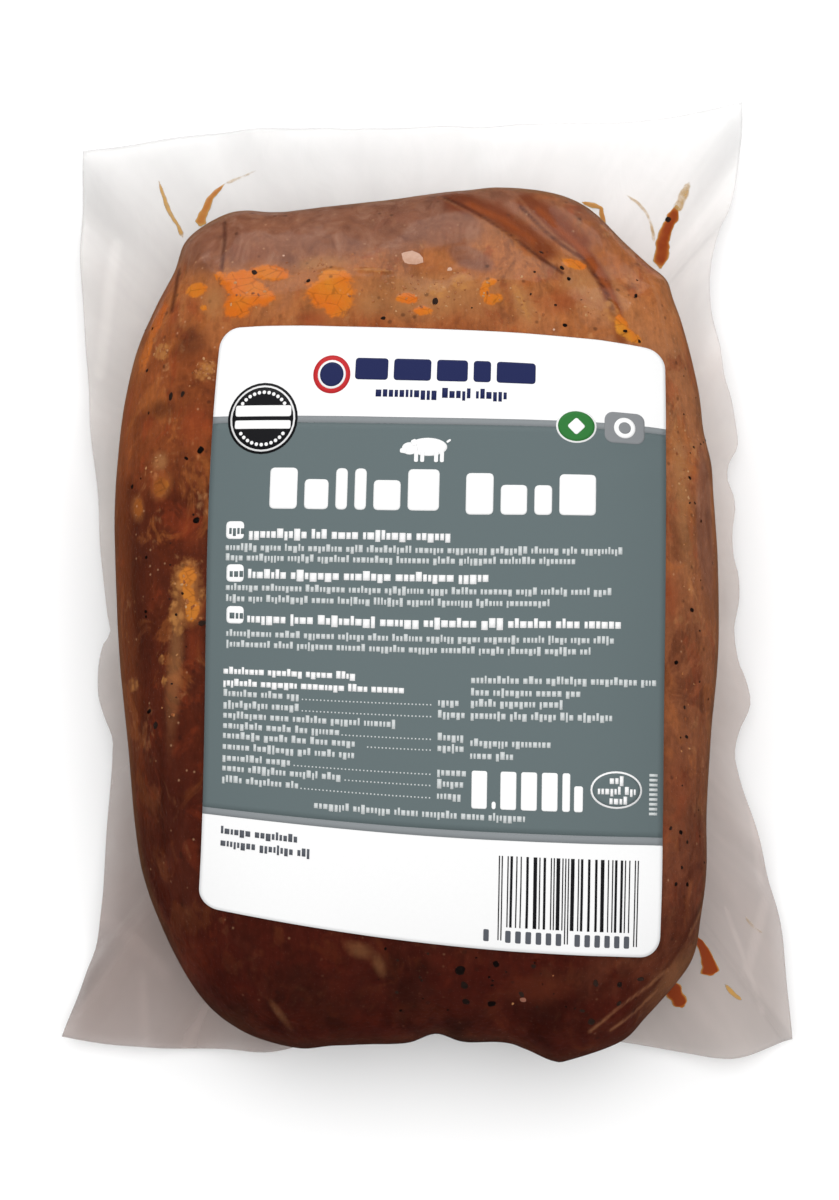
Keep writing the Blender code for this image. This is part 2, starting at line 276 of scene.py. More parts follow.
def side_ring(directions, reach, height, dent_share):
    """One ring of points down the side, at a height or at a height for each column."""
    out = reach * side_reach(height)
    dented = out - notch(*(directions * out[:, None]).T) * dent_share
    return np.column_stack([directions * dented[:, None], np.broadcast_to(height, out.shape)])


def base_height(out):
    """Height of the underside at a share of the way out, flat where it rests."""
    drop = (1.0 - out ** SIDE_PLAN_POWER) ** (1.0 / SIDE_DROP_POWER)
    return np.maximum(0.0, WIDEST_HEIGHT - (WIDEST_HEIGHT + REST_SINK) * drop)


# %% [markdown]
# ## A skin from a globe
# Every closed skin here starts as a globe. Blender's sphere operator is slow when it has tens of
# thousands of faces, so a flat grid is rolled up instead: its side edges meet in a seam, its top
# and bottom rows shrink to the poles, and merging the doubles closes both. After that it's enough
# to move its rings to the pack's sections.


# %% Wrap a globe over rings of points
def place_mesh(name, cells):
    """Put an edited mesh in the scene as a piece with its object at the origin."""
    mesh = bpy.data.meshes.new(name)
    cells.to_mesh(mesh)
    cells.free()
    piece = bpy.data.objects.new(name, mesh)
    bpy.context.scene.collection.objects.link(piece)
    return piece


def vertex_table(mesh, key):
    """A mesh's places or normals as rows of three numbers."""
    flat = np.empty(len(mesh.vertices) * 3)
    mesh.vertices.foreach_get(key, flat)
    return flat.reshape(-1, 3)


def read_field(mesh, key):
    """A mesh attribute as an array."""
    field = np.empty(len(mesh.vertices))
    mesh.attributes[key].data.foreach_get("value", field)
    return field


def wrap_globe(name, rings, top, bottom, values):
    """A closed skin from rings of points, with one attribute for each named list of values."""
    ring_count, column_count = len(rings), len(rings[0])
    ball = bmesh.new()
    bmesh.ops.create_grid(ball, x_segments=column_count, y_segments=ring_count + 1, size=1.0)
    seam = []
    for vert in ball.verts:
        if abs(vert.co.x) > 0.9999 or abs(vert.co.y) > 0.9999:
            seam.append(vert)
        turn, tilt = (vert.co.x + 1) * math.pi, (1 - vert.co.y) * math.pi / 2
        vert.co = (math.sin(tilt) * math.cos(turn), math.sin(tilt) * math.sin(turn), math.cos(tilt))
    bmesh.ops.remove_doubles(ball, verts=seam, dist=1e-5)
    piece = place_mesh(name, ball)
    mesh = piece.data
    x, y, z = vertex_table(mesh, "co").T
    ring = np.rint(np.arccos(np.clip(z, -1, 1)) / math.pi * (ring_count + 1)).astype(int)
    column = np.rint(np.arctan2(y, x) / (2 * math.pi) * column_count).astype(int) % column_count
    table = np.concatenate([np.broadcast_to(top, (1, column_count, 3)), rings,
                            np.broadcast_to(bottom, (1, column_count, 3))])
    placed = table[ring, column] - (PACK_MIDDLE[0], PACK_MIDDLE[1], 0.0)
    mesh.vertices.foreach_set("co", placed.ravel())
    for key, rows in values.items():
        field = np.concatenate([rows[:1], rows, rows[-1:]])[ring, column]
        mesh.attributes.new(key, "FLOAT", "POINT").data.foreach_set("value", field.ravel())
    mesh.update()
    mesh.shade_smooth()
    print(name, "triangles:", sum(len(face.vertices) - 2 for face in mesh.polygons))
    return piece


def thicken(piece, thickness):
    """Give a sheet a thickness below its face."""
    wall = piece.modifiers.new("thickness", "SOLIDIFY")
    wall.thickness = thickness
    wall.offset = -1.0


def push_out(mesh, amount):
    """Move every vertex along its normal by its own amount."""
    moved = vertex_table(mesh, "co") + vertex_table(mesh, "normal") * amount[:, None]
    mesh.vertices.foreach_set("co", moved.ravel())
    mesh.update()


def on_film(tree, x, y, above=0.2):
    """The point and the upward normal of a skin under a place given in millimetres."""
    start = Vector((x * MM - PACK_MIDDLE[0], y * MM - PACK_MIDDLE[1], above))
    spot, normal, _, _ = tree.ray_cast(start, Vector((0.0, 0.0, -1.0)))
    return spot, normal


def skin_tree(piece):
    """A search tree of a piece's faces, to lay smaller things on it."""
    return BVHTree.FromPolygons([v.co for v in piece.data.vertices],
                                [tuple(face.vertices) for face in piece.data.polygons])


# %% [markdown]
# ## Shader arithmetic
# A material here is a sum of many small patterns. Writing it as Python arithmetic keeps it
# readable: the class below wraps a node's output, and a plus or a minus on it adds a Math node.
# Colours are mixed with Mix nodes, since a Math node would turn them grey.


# %% The wire class
class Wire:
    """One output of a node. Arithmetic on it adds Math nodes to the same material."""

    def __init__(self, socket):
        self.socket = socket

    def node(self, kind, settings, sockets, output=0):
        """Add a node: its settings first, then the values or wires of its sockets."""
        tree = self.socket.id_data
        made = tree.nodes.new(kind)
        for key, value in settings.items():
            if key == "stops":
                while len(made.color_ramp.elements) < len(value):
                    made.color_ramp.elements.new(0.5)
                for element, (place, colour) in zip(made.color_ramp.elements, value):
                    element.position = place
                    element.color = colour
            else:
                setattr(made, key, value)
        for key, value in sockets.items():
            if isinstance(value, Wire):
                tree.links.new(value.socket, made.inputs[key])
            else:
                made.inputs[key].default_value = value
        return Wire(made.outputs[output])

    def math(self, operation, first, second=0.0):
        return self.node("ShaderNodeMath", {"operation": operation}, {0: first, 1: second})

    def __add__(self, other):
        return self.math("ADD", self, other)

    def __sub__(self, other):
        return self.math("SUBTRACT", self, other)

    def __rsub__(self, other):
        return self.math("SUBTRACT", other, self)

    def __mul__(self, other):
        return self.math("MULTIPLY", self, other)

    def __abs__(self):
        return self.math("ABSOLUTE", self)

    __radd__ = __add__
    __rmul__ = __mul__

    def rise(self, low, high):
        """0 below low, 1 above high, with soft ends. With low above high it falls."""
        return self.node("ShaderNodeMapRange", {"interpolation_type": "SMOOTHSTEP"},
                         {0: self, 1: low, 2: high})

    def stretched(self, scale, shift=(0.0, 0.0, 0.0), turn=0.0):
        """These coordinates, each axis times its own number."""
        return self.node("ShaderNodeMapping", {}, {
            0: self, "Location": shift, "Rotation": (0.0, 0.0, turn), "Scale": scale})

    def noise(self, scale, detail=2.0, roughness=0.5, distortion=0.0):
        """Cloudy noise around 0.5 on these coordinates."""
        return self.node("ShaderNodeTexNoise", {}, {
            "Vector": self, "Scale": scale, "Detail": detail, "Roughness": roughness,
            "Distortion": distortion})

    def cells(self, scale, feature="F1", output=0):
        """Cell pattern: distance to the nearest seed, or its random colour."""
        return self.node("ShaderNodeTexVoronoi", {"feature": feature},
                         {"Vector": self, "Scale": scale}, output)

    def part(self, axis):
        """One axis of these coordinates."""
        return self.node("ShaderNodeSeparateXYZ", {}, {0: self}, axis)

    def towards(self, colour, share):
        """This colour mixed with another by a share."""
        return self.node("ShaderNodeMix", {"data_type": "RGBA"},
                         {0: share, 6: self, 7: colour}, output=2)

    def times(self, factor):
        """This colour made lighter or darker by a wire around 1."""
        return self.node("ShaderNodeVectorMath", {"operation": "SCALE"}, {0: self, 3: factor})

    def ramp(self, stops):
        """A run of colours along this value."""
        return self.node("ShaderNodeValToRGB", {"stops": stops}, {0: self})

    def tones(self, stops):
        """A run of colours as they are seen: each stop is its place and its red, green and blue."""
        return self.ramp([(place, seen(*colour)) for place, *colour in stops])

    def layered(self, layers):
        """This colour with others, as they are seen, laid over it in turn, each by its share."""
        laid = self
        for colour, share in layers:
            laid = laid.towards(seen(*colour), share)
        return laid


# %% Colours as they are seen, and a new material
LIGHT_LEVEL = 1.18


def seen(red, green, blue, light=LIGHT_LEVEL):
    """The paint that looks like an sRGB colour of 0 to 255 under this scene's light."""
    linear = [((c / 255 + 0.055) / 1.055) ** 2.4 if c > 10 else c / 255 / 12.92
              for c in (red, green, blue)]
    return (*(min(0.95, value / light) for value in linear), 1.0)


def new_finish(name, plain):
    """A material, its main shader with its plain settings, and a wire of object coordinates."""
    material = bpy.data.materials.new(name)
    material.use_nodes = True
    tree = material.node_tree
    shader = tree.nodes["Principled BSDF"]
    for key, value in plain.items():
        shader.inputs[key].default_value = value
    place = Wire(tree.nodes.new("ShaderNodeTexCoord").outputs["Object"])
    return material, shader, place


def feed(shader, key, wire):
    """Lead a wire into one of the main shader's sockets."""
    shader.id_data.links.new(wire.socket, shader.inputs[key])


def attribute(place, key):
    """A wire that carries a mesh attribute."""
    return place.node("ShaderNodeAttribute", {"attribute_name": key}, {}, output=2)


# %% Bump, and where the side turns out of sight
RIM_HEIGHT = 0.0355
RIM_SLOPE = 0.058


def rim_masks(place):
    """1 above the line where the side turns out of sight from above, and 1 along that line."""
    level = place.part(2) - (place.part(1) * RIM_SLOPE + RIM_HEIGHT)
    return level.rise(-0.0050, -0.0015), abs(level).rise(0.0034, 0.0012)


def bump(place, height, distance, strength=1.0):
    """A bump normal from a height wire of 0 to 1."""
    return place.node("ShaderNodeBump", {}, {
        "Strength": strength, "Distance": distance, "Height": height})


# %% [markdown]
# ## The camera
# The pack is seen almost straight from above, from the foot of the label. Looking a few degrees
# from upright makes the head of the pack a little smaller than its foot.

# %% Place the camera
CAMERA_TARGET = Vector((-0.00225, -0.01315, 0.032))
CAMERA_DISTANCE = 0.700
CAMERA_ELEVATION = math.radians(82)
CAMERA_LENS = 73.71
SENSOR_HEIGHT = 36.0

camera = bpy.data.objects.new("camera", bpy.data.cameras.new("camera"))
camera.data.sensor_fit = "VERTICAL"
camera.data.sensor_height = SENSOR_HEIGHT
camera.data.lens = CAMERA_LENS
camera.data.clip_start = 0.01
camera.location = CAMERA_TARGET + CAMERA_DISTANCE * Vector(
    (0.0, -math.cos(CAMERA_ELEVATION), math.sin(CAMERA_ELEVATION)))
camera.rotation_euler = (math.pi / 2 - CAMERA_ELEVATION, 0.0, 0.0)
bpy.context.scene.collection.objects.link(camera)
bpy.context.scene.camera = camera
print("camera at", tuple(round(value, 3) for value in camera.location))

# %% [markdown]
# ## The meat
# Pulled pork is shredded along its grain and pressed flat by the vacuum, so the block shows
# strands, lumps of orange marinated fat, granules and pepper. Its colour also carries painted
# shade, darker towards the foot and in the creases, and the film's painted sheen and highlights.
# A painted box would look dead, so the skin gets its own fine relief first. Broad named spots are
# stored on the mesh as soft fields, and the material breaks their edges up with noise.

# %% Named spots and strokes on the meat
# Each spot is x, y, half length along x, half length along y, turn in degrees.
SPOTS = {
    # Painted sheen: the film's pale mauve haze on the top shoulder and on a strip of the right side.
    "mauve": [
        (-30, 95, 46, 15, 0), (-62, 90, 11, 13, 0), (4, 92, 14, 9, -20), (-46, 82, 12, 6, 0),
        (12, 81, 9, 4, -30), (78, 8, 3, 26, 2),
    ],
    "tan": [
        (0, 69, 22, 8, 0), (-30, 80, 9, 3, 0), (26, 67, 3, 8, 25), (-15, 66.5, 6, 5, 0),
        (46, 72, 12, 8, -40), (-59.5, 69, 4, 5, 0), (-69, -35, 2.8, 20, -3), (-74, 24, 2.6, 3, 0),
        (71, 15, 3, 26, 3), (68, -116, 4, 15, -42), (-18, -110, 5, 2.4, -20),
        (-40, -127, 1.2, 5, 35), (-13, -114, 1.8, 4, 20), (-84, 56, 3, 11, -15),
    ],
    "red": [
        (-66, 5, 4.4, 7, 0), (-64, 33, 5, 7, 0), (-63.5, -29, 2.6, 7, 0), (-85, 44, 2, 11, -8),
        (29, -120, 10, 4.5, 0), (69, -66, 4, 7, 0), (76, 54, 2.5, 9, 14), (-66, -114, 6, 9, -28),
        (-71, 67, 1.6, 5, -18), (38, 68, 7, 4, 12), (-31, 62.5, 5, 2.5, 0), (67, -15, 3, 8, 0),
    ],
    "dark": [
        (-80, -3, 4.5, 11, 0), (-79.5, -25, 4.5, 16, 0), (-66, 57, 5, 6, 0), (-74, 39, 5, 3, 0),
        (-28, -123, 17, 8, 0), (6, -124, 20, 8, 0), (-71, -70, 8, 19, -6), (-64, -97, 7, 14, -20),
        (13, 79, 5, 1.6, -15),
    ],
    "yellow": [
        (-65.5, -12, 4.6, 8.5, 8), (-68, -20, 3, 5, 0), (-61.3, 48.5, 4, 3.2, 35),
        (-74, 56, 2.8, 2.8, 0), (9.5, 73, 3.6, 3, 0), (-81.5, -37, 1.8, 1.9, 0), (-26, 76.5, 4.6, 1.6, 0),
        (-73, -31, 0.9, 1.6, 0), (-72, -37, 0.9, 1.6, 0), (26, 67, 1.2, 6, 25),
        (-73.5, 16, 1.6, 2.2, 0), (-14.5, 77, 6, 0.7, -3), (3, 71, 3, 2.6, 0), (51.5, 66, 2, 4.4, 10),
    ],
    "orange": [
        (-64.5, 73.3, 3.3, 2.5, 0), (-58.3, 77, 1.9, 1.2, 25), (-62.2, 67.5, 1.4, 1.1, 0),
        (-43.5, 77, 6.4, 2.8, -8), (-52, 75.4, 6.2, 2.8, 6), (-49.8, 71.4, 6.2, 4.8, 0),
        (-45.2, 69.3, 3.4, 3.2, 0), (-52.2, 66.8, 4.6, 3.8, 0), (-27, 70.4, 7.2, 6.0, 0),
        (-24.5, 68, 5.0, 5.6, 0), (-26, 74.4, 5.4, 3.0, 0), (-76.5, 66, 1.9, 7, -24),
        (-79.5, 57, 1.6, 6.5, -14), (-5.5, 68.5, 3.6, 1.6, 0), (-1, 64.5, 2.6, 1.6, 0),
        (41, 80.5, 3.8, 1.8, -10), (54, 61.5, 2.2, 3.4, 10), (57, 58.8, 3.6, 1.8, -25),
        (17, 72.5, 2.3, 1.5, 30), (15.7, 70, 1.5, 2.0, 0), (18.4, 67.6, 3.3, 1.9, 0),
        (-65.3, -9, 2.5, 3.2, 8), (-64.8, -14, 1.8, 3, 20), (-64, -18.5, 2.2, 3.2, -5),
        (-80.5, 11.5, 1.6, 3.0, 8), (-73.5, 17, 2.4, 3.2, -15),
    ],
}
# Each stroke is a run of points and its half width.
STROKES = {
    "juice": [
        ([(9, 100.5), (18, 97), (27, 90.5), (33, 84.5)], 4.6), ([(29, 102), (36, 95), (42, 88)], 4.0),
        ([(41, 88), (46, 82.5), (49.5, 76.5), (53, 64), (54, 58)], 2.4),
    ],
    "glow": [
        ([(32, 99), (38, 92), (44, 85.5), (48.5, 78.5), (51.5, 70), (53.5, 62)], 1.5),
        ([(12, 99), (22, 94), (30, 87.5)], 1.9),
    ],
    # Painted shade darkens the creases' lines, and painted highlights mark ridges and folds.
    "shade": [
        ([(5, 102), (14.5, 95.5), (24.5, 88), (31.5, 81.5), (38, 77)], 1.0),
        ([(27, 99.5), (32.5, 92.5), (38.5, 86.5), (43.5, 83), (47, 78.5), (50.3, 72), (52, 64.5)], 1.0),
        ([(-57.6, 96), (-57.2, 88), (-57.5, 74)], 1.0), ([(-70.6, 82), (-71.2, 75), (-72, 68)], 1.0),
        ([(77, -95), (70, -108), (62, -120), (50, -132)], 0.9),
    ],
    "gleam": [
        ([(44, -132), (52, -125.5), (60.5, -119.5), (66, -115)], 0.8), ([(72, -106), (77, -97)], 0.7),
        ([(50, -131.5), (57, -126.5), (63, -121)], 0.7), ([(25, 105), (30, 97.5), (36, 90), (42, 85)], 0.9),
        ([(62, 82), (66, 70), (68, 57)], 0.9), ([(3, 103), (9, 98), (16, 93)], 0.8),
    ],
}

PEPPER = [
    (2.3, 67.3, 1.4), (37.7, 78.3, 0.8), (39.5, 75, 0.7), (32, 83, 0.6), (38, 60.7, 0.7), (58.5, 71.5, 0.9),
    (-71, 42.5, 1.2), (-67.5, 42.3, 0.9), (-62, 26, 1.1), (-66, 24, 0.7), (-82, 18, 0.7),
    (-63, 6.5, 1.0), (-61, -22, 1.1), (-76, -45, 0.9), (-74, -49, 1.1), (-48, 77.2, 0.9),
    (-32.8, 73.8, 0.7), (-12, 62.3, 0.8),
    (9, -115, 1.5), (10, -119, 1.3), (10.5, -123.5, 1.1), (17.5, -124, 1.1), (18.5, -113.5, 1.0),
    (25.5, -121.5, 1.1), (45.5, -118.5, 1.0), (52, -119, 0.9), (52, -124, 0.8), (44.5, -129, 1.1),
    (58, -117.5, 1.0), (28.5, -114, 0.7), (42, -126, 0.7), (55, 60, 0.7), (59, 57.5, 0.6), (73, 20, 0.7),
    (73, -17, 0.8), (68, -32, 0.7), (70.5, -44, 0.6), (71, -52, 0.6), (69, -78, 0.7), (66, -77, 0.6),
    (71, -80.5, 0.6), (67.5, -92, 0.7), (71, -92, 0.6), (35.5, 66.5, 0.4), (-78.5, 51.5, 0.6),
]
print("named spots:", sum(len(spots) for spots in SPOTS.values()), "pepper:", len(PEPPER))


# %% Fields that say how deep inside a spot or stroke each point lies
def spot_field(x, y, spots):
    """1 in the middle of a spot, 0 at its rim, less outside."""
    field = np.full_like(x, -1.0)
    for centre_x, centre_y, half_x, half_y, turn in spots:
        dx, dy = x / MM - centre_x, y / MM - centre_y
        cos, sin = math.cos(math.radians(-turn)), math.sin(math.radians(-turn))
        across, along = (dx * cos - dy * sin) / half_x, (dx * sin + dy * cos) / half_y
        field = np.maximum(field, 1.0 - np.hypot(across, along))
    return field


def stroke_field(x, y, strokes):
    """1 on the line of a stroke, 0 at its sides, less outside."""
    field = np.full_like(x, -1.0)
    for points, half_width in strokes:
        for start, end in zip(points, points[1:]):
            away = distance_to_run(x, y, start, end) / (half_width * MM)
            field = np.maximum(field, 1.0 - away)
    return field


# %% Rings of the meat, from the middle of the top to the middle of the underside
MEAT_COLUMNS = 640
MEAT_GAP = 0.0002
MEAT_RELIEF = 0.0008
CALM_RIM = 0.1

meat_plan = evenly_spaced(np.vstack([body_curve, body_curve[:1]]), MEAT_COLUMNS)
meat_plan = meat_plan[np.argsort(np.arctan2(meat_plan[:, 1], meat_plan[:, 0]) % (2 * math.pi))]
meat_ways = meat_plan / np.hypot(*meat_plan.T)[:, None]
meat_reach = body_reach(*meat_plan.T)
dome_drops = np.linspace(0.84, 0.0, 56)[1:]
top_shares = np.concatenate([
    np.linspace(0.03, 0.52, 16),
    np.linspace(0.535, 0.80, 46),
    (1.0 - dome_drops ** TOP_RISE_POWER) ** (1.0 / TOP_PLAN_POWER),
])
top_shares = np.unique(np.round(top_shares, 5))
side_heights = WIDEST_HEIGHT * (1.0 - np.linspace(0.05, 0.86, 20))
base_shares = side_reach(side_heights[-1]) * np.linspace(0.97, 0.06, 12)

meat_rings = [dome_ring(meat_ways, meat_reach, share) for share in top_shares]
meat_rings += [side_ring(meat_ways, meat_reach, height, 1 - depth)
               for height, depth in zip(side_heights, np.linspace(0, 1, len(side_heights)))]
meat_rings += [np.column_stack([meat_ways * (meat_reach * share)[:, None],
                                np.full(MEAT_COLUMNS, base_height(share))])
               for share in base_shares]
meat_rings = np.array(meat_rings)
meat_out = np.concatenate([top_shares, 1.0 + np.linspace(0.01, 0.5, len(side_heights)),
                           np.full(len(base_shares), 1.6)])
meat_values = {"out": np.broadcast_to(meat_out[:, None], meat_rings.shape[:2])}
for key, spots in SPOTS.items():
    meat_values[key] = spot_field(meat_rings[..., 0], meat_rings[..., 1], spots)
for key, strokes in STROKES.items():
    meat_values[key] = stroke_field(meat_rings[..., 0], meat_rings[..., 1], strokes)
meat = wrap_globe("meat", meat_rings, (0, 0, top_height(0.0, 0.0)), (0, 0, 0), meat_values)


# %% Press strands and small lumps into it
def strand_relief(point):
    """Depth of the strands and lumps at a point, 0 to about 1."""
    bend = noise.noise(point * 38.0) * 0.006
    along = Vector(((point.x + bend) * 210.0, point.y * 46.0, point.z * 150.0))
    strands = 0.5 + 0.5 * noise.noise(along)
    lumps = 0.5 + 0.5 * noise.fractal(point * 105.0, 0.9, 2.1, 3)
    return 0.55 * strands + 0.45 * lumps


meat_depth = np.array([strand_relief(vertex.co) for vertex in meat.data.vertices])
meat_depth = np.clip(meat_depth, 0.0, 1.0)
on_fat = np.max([ease(read_field(meat.data, key) * 2.5) for key in ("orange", "yellow")], axis=0)
at_rim = ease((read_field(meat.data, "out") - (1 - CALM_RIM)) / CALM_RIM)
meat_depth = meat_depth * (1 - 0.7 * on_fat) * (1 - 0.75 * at_rim)
push_out(meat.data, -(MEAT_GAP * (1 - 0.5 * at_rim) + MEAT_RELIEF * meat_depth))
print("deepest hollow:", round(float(meat_depth.max()), 2))

# %% [markdown]
# Meat colour is layered: a run of tones from the dark foot to the paler head, one run for
# the left side and one for the right, then clouds, strands and grains over them, and last the
# named spots. The run is partly the meat's own tones and partly painted shade, dark at the foot
# as if turned from the light. Wet meat under film shines, and the coat layer stands for that film's gloss.

# %% The meat's material: tones from foot to head, with painted shade at the foot
MEAT_COAT = 0.5

meat_finish, meat_shader, place = new_finish("meat_under_film", {
    "Coat Roughness": 0.14, "Coat IOR": 1.45, "Specular IOR Level": 0.12})
along_pack = (place.part(1) + 0.14) * 4.0
clouds = place.noise(34.0, 3.0, 0.55)
patches = place.stretched((1.0, 0.6, 1.0)).noise(95.0, 4.0, 0.62, 0.5)
grain = place.noise(520.0, 4.0, 0.65)
strands = place.stretched((1.0, 0.16, 0.6)).noise(300.0, 3.0, 0.62, 0.5)
fine_strands = place.stretched((1.0, 0.2, 0.6), (0.3, 0.1, 0.0)).noise(900.0, 2.0, 0.6, 0.3)

tone = along_pack + (clouds - 0.5) * 0.30 + (patches - 0.5) * 0.20
# Painted shade and light: both runs go from near black at the foot, as if turned from the light, to pale at
# the head, as if lit.
left_tones_and_shade = tone.tones([
    (0.05, 68, 17, 6), (0.20, 72, 24, 11), (0.56, 90, 37, 16), (0.76, 144, 74, 34),
    (0.86, 160, 96, 52), (0.97, 138, 90, 66)])
right_tones_and_shade = tone.tones([
    (0.07, 70, 20, 8), (0.20, 112, 60, 38), (0.56, 150, 90, 54), (0.76, 166, 106, 66),
    (0.86, 170, 104, 58), (0.97, 140, 82, 52)])
cloudy_x = place.part(0) + (clouds - 0.5) * 0.03
foot = place.part(1).rise(-0.095, -0.118)
head = place.part(1).rise(-0.10, 0.05)
calm = 1 - foot * 0.75
middle = place.part(0).rise(-0.075, -0.055) * place.part(0).rise(0.055, 0.03)
# Painted shade: darker patches across the middle of the foot.
painted_foot_shade = (clouds + (patches - 0.5) * 0.5).rise(0.42, 0.62) * middle
meat_colour = left_tones_and_shade.towards(right_tones_and_shade, cloudy_x.rise(0.0, 0.06)).layered([
    ((112, 62, 38), foot * cloudy_x.rise(0.050, 0.074) * 0.7), ((34, 9, 4), painted_foot_shade * foot * 0.65)])


# %% Clumps of differently cooked meat, with edges where they meet
def clumps(scale, low, high, shift):
    """Ragged islands of 0 to 1: the part of a cloudy noise that lies above a level."""
    return place.stretched((1.0, 0.7, 1.0), shift).noise(scale, 5.0, 0.62, 0.9).rise(low, high)


granules = place.stretched((1.0, 0.8, 1.0)).cells(560.0).rise(0.80, 0.25)
purple = clumps(66.0, 0.52, 0.60, (0.2, 0.7, 0.1))
rusty = clumps(84.0, 0.54, 0.62, (0.9, 0.3, 0.5))
toffee = clumps(72.0, 0.54, 0.63, (0.4, 0.1, 0.8))
creamy = clumps(120.0, 0.57, 0.66, (0.6, 0.5, 0.2)) * granules
meat_colour = meat_colour.layered([
    ((80, 34, 20), purple * (0.55 - head * 0.22) * calm),
    ((138, 54, 22), rusty * (0.20 + head * 0.20) * calm),
    ((166, 94, 42), toffee * (0.14 + head * 0.36) * calm),
    ((184, 130, 82), creamy * (0.10 + head * 0.36) * calm)])
meat_colour = meat_colour.times(
    1.0 + (patches - 0.5) * 0.50 + (strands - 0.5) * 0.50 + (grain - 0.5) * 0.75
    + (fine_strands - 0.5) * 0.45)

# %% Named spots over that, their edges broken up by noise
ragged = (patches - 0.5) + (grain - 0.5)
soft = (clouds - 0.5) * 1.2 + (strands - 0.5) * 0.8
for key, colour, low, share in (
        ("tan", (168, 118, 72), -0.3, 0.55), ("red", (142, 58, 26), -0.3, 0.50),
        ("dark", (64, 26, 15), -0.4, 0.60)):
    mask = (attribute(place, key) + soft * 0.6 + ragged * 0.4).rise(low, 0.8)
    meat_colour = meat_colour.layered([(colour, mask * share * (0.40 + head * 0.60))])
# Painted sheen: where the film would reflect the light, the meat is painted a pale mauve haze.
swirls = place.stretched((1.0, 0.5, 1.0), turn=0.6).noise(120.0, 4.0, 0.6, 1.5)
mauve = swirls.tones([(0.35, 112, 68, 50), (0.52, 134, 86, 64), (0.68, 148, 104, 82)])
meat_colour = meat_colour.towards(
    mauve.times(0.88 + grain * 0.24), (attribute(place, "mauve") + soft * 0.5).rise(-0.12, 0.35) * 0.82)

# %% Juice in the creases, with painted shade along their lines and painted highlights on their ridges and folds
for key, colour, low, high, share in (
        ("juice", (116, 48, 12), -0.25, 0.60, 0.85), ("glow", (158, 74, 22), -0.3, 1.1, 0.60),
        ("shade", (74, 30, 14), -0.2, 1.0, 0.80), ("gleam", (176, 120, 80), 0.0, 1.2, 0.38)):
    mask = (attribute(place, key) + soft * 0.7 + (grain - 0.5) * 0.6).rise(low, high)
    meat_colour = meat_colour.layered([(colour, mask * share)])

# %% Orange fat with fine cracks, and granular yellow fat
yellow_mask = (attribute(place, "yellow") + ragged * 1.2).rise(-0.10, 0.45)
crack_place = place.stretched((1.0, 1.7, 1.0))
cracks = (crack_place.cells(170.0, "DISTANCE_TO_EDGE") + (grain - 0.5) * 0.12).rise(0.05, 0.0)
fat_colour = (clouds + (patches - 0.5) * 0.5).tones([
    (0.36, 204, 134, 38), (0.48, 202, 114, 26), (0.62, 204, 102, 18)])
at_left = place.part(0).rise(-0.069, -0.073)
fat_colour = fat_colour.layered([
    ((184, 118, 46), place.part(1).rise(0.060, 0.040) * 0.6),
    ((138, 72, 26), at_left * place.part(1).rise(0.035, 0.025) * 0.9),
    ((184, 84, 30), at_left * place.part(1).rise(0.035, 0.045) * 0.7)])
fat_colour = fat_colour.times(0.84 + grain * 0.22 + patches * 0.14 - cracks * 0.30)
orange_field = attribute(place, "orange")
orange_mask = (orange_field + ragged * 0.9).rise(-0.06, 0.30)
meat_colour = meat_colour.layered([
    ((186, 126, 66), yellow_mask * (0.22 + granules * 0.45)),
    ((172, 104, 52), (orange_field + soft * 0.4).rise(-0.8, 0.1) * 0.30)])
meat_colour = meat_colour.towards(fat_colour, orange_mask * 0.95)


# %% Specks of spice, the warm left rim, and a painted sheen along the silhouette line
def specks(place, scale, sizes, chances):
    """Small dots in the cells whose random number lies above a chance."""
    return place.cells(scale).rise(*sizes) * place.cells(scale, output=1).part(0).rise(*chances)


dark_specks = specks(place, 300.0, (0.26, 0.10), (0.80, 0.86))
pale_specks = specks(place.stretched((1.0, 1.0, 1.0), (0.5, 0.5, 0.5)), 460.0, (0.22, 0.08), (0.86, 0.90))
out = attribute(place, "out")
on_top, rim_line = rim_masks(place)
left_rim = out.rise(0.90, 0.98) * place.part(0).rise(-0.065, -0.080) * place.part(1).rise(-0.10, -0.03)
# Painted sheen: a golden-brown line where the side turns out of sight from above, set a little outward at
# the head.
painted_sheen_horizon = out + place.part(1).rise(0.02, 0.10) * 0.009 + 0.001
meat_colour = meat_colour.layered([
    ((46, 22, 14), dark_specks * 0.5), ((196, 150, 112), pale_specks * 0.4 * calm),
    ((152, 80, 36), left_rim * on_top * 0.4),
    ((108, 72, 38), painted_sheen_horizon.rise(0.970, 0.994) * on_top * 0.45 * calm),
    ((146, 96, 52), rim_line * 0.18)])
feed(meat_shader, "Base Color", meat_colour)
feed(meat_shader, "Coat Weight", MEAT_COAT - out.rise(0.94, 0.99) * on_top * MEAT_COAT)
feed(meat_shader, "Roughness", 0.42 + patches * 0.22 + out.rise(0.95, 0.99) * on_top * 0.35)
feed(meat_shader, "Normal", bump(place, strands * 0.5 + grain * 0.4 + patches * 0.4, 0.0007))
meat.data.materials.append(meat_finish)
print("meat material nodes:", len(meat_finish.node_tree.nodes))

# %% [markdown]
# ## The film
# The clear film wraps the meat and is welded to itself around it. Over the meat it hardly shows,
# but the two welded layers of the margin look milky, with soft bands where they buckle; those bands
# are partly painted light and shade, and the margin is painted darker towards the foot as painted
# shade. Over the meat the film carries a painted sheen. It is one closed skin, thin in the margin.
# The mesh stores how far out in the margin each point lies, and the opacity follows that: nearly
# none over the meat and more in the margin.

# %% Rings of the film, out along the margin and back underneath
FILM_COUNTS = (122, 94, 122, 102)
WELD_THICKNESS = 0.0004
WIDE_PLEATS = 0.0006
FINE_PLEATS = 0.00012
MARGIN_LOWEST = 0.0008

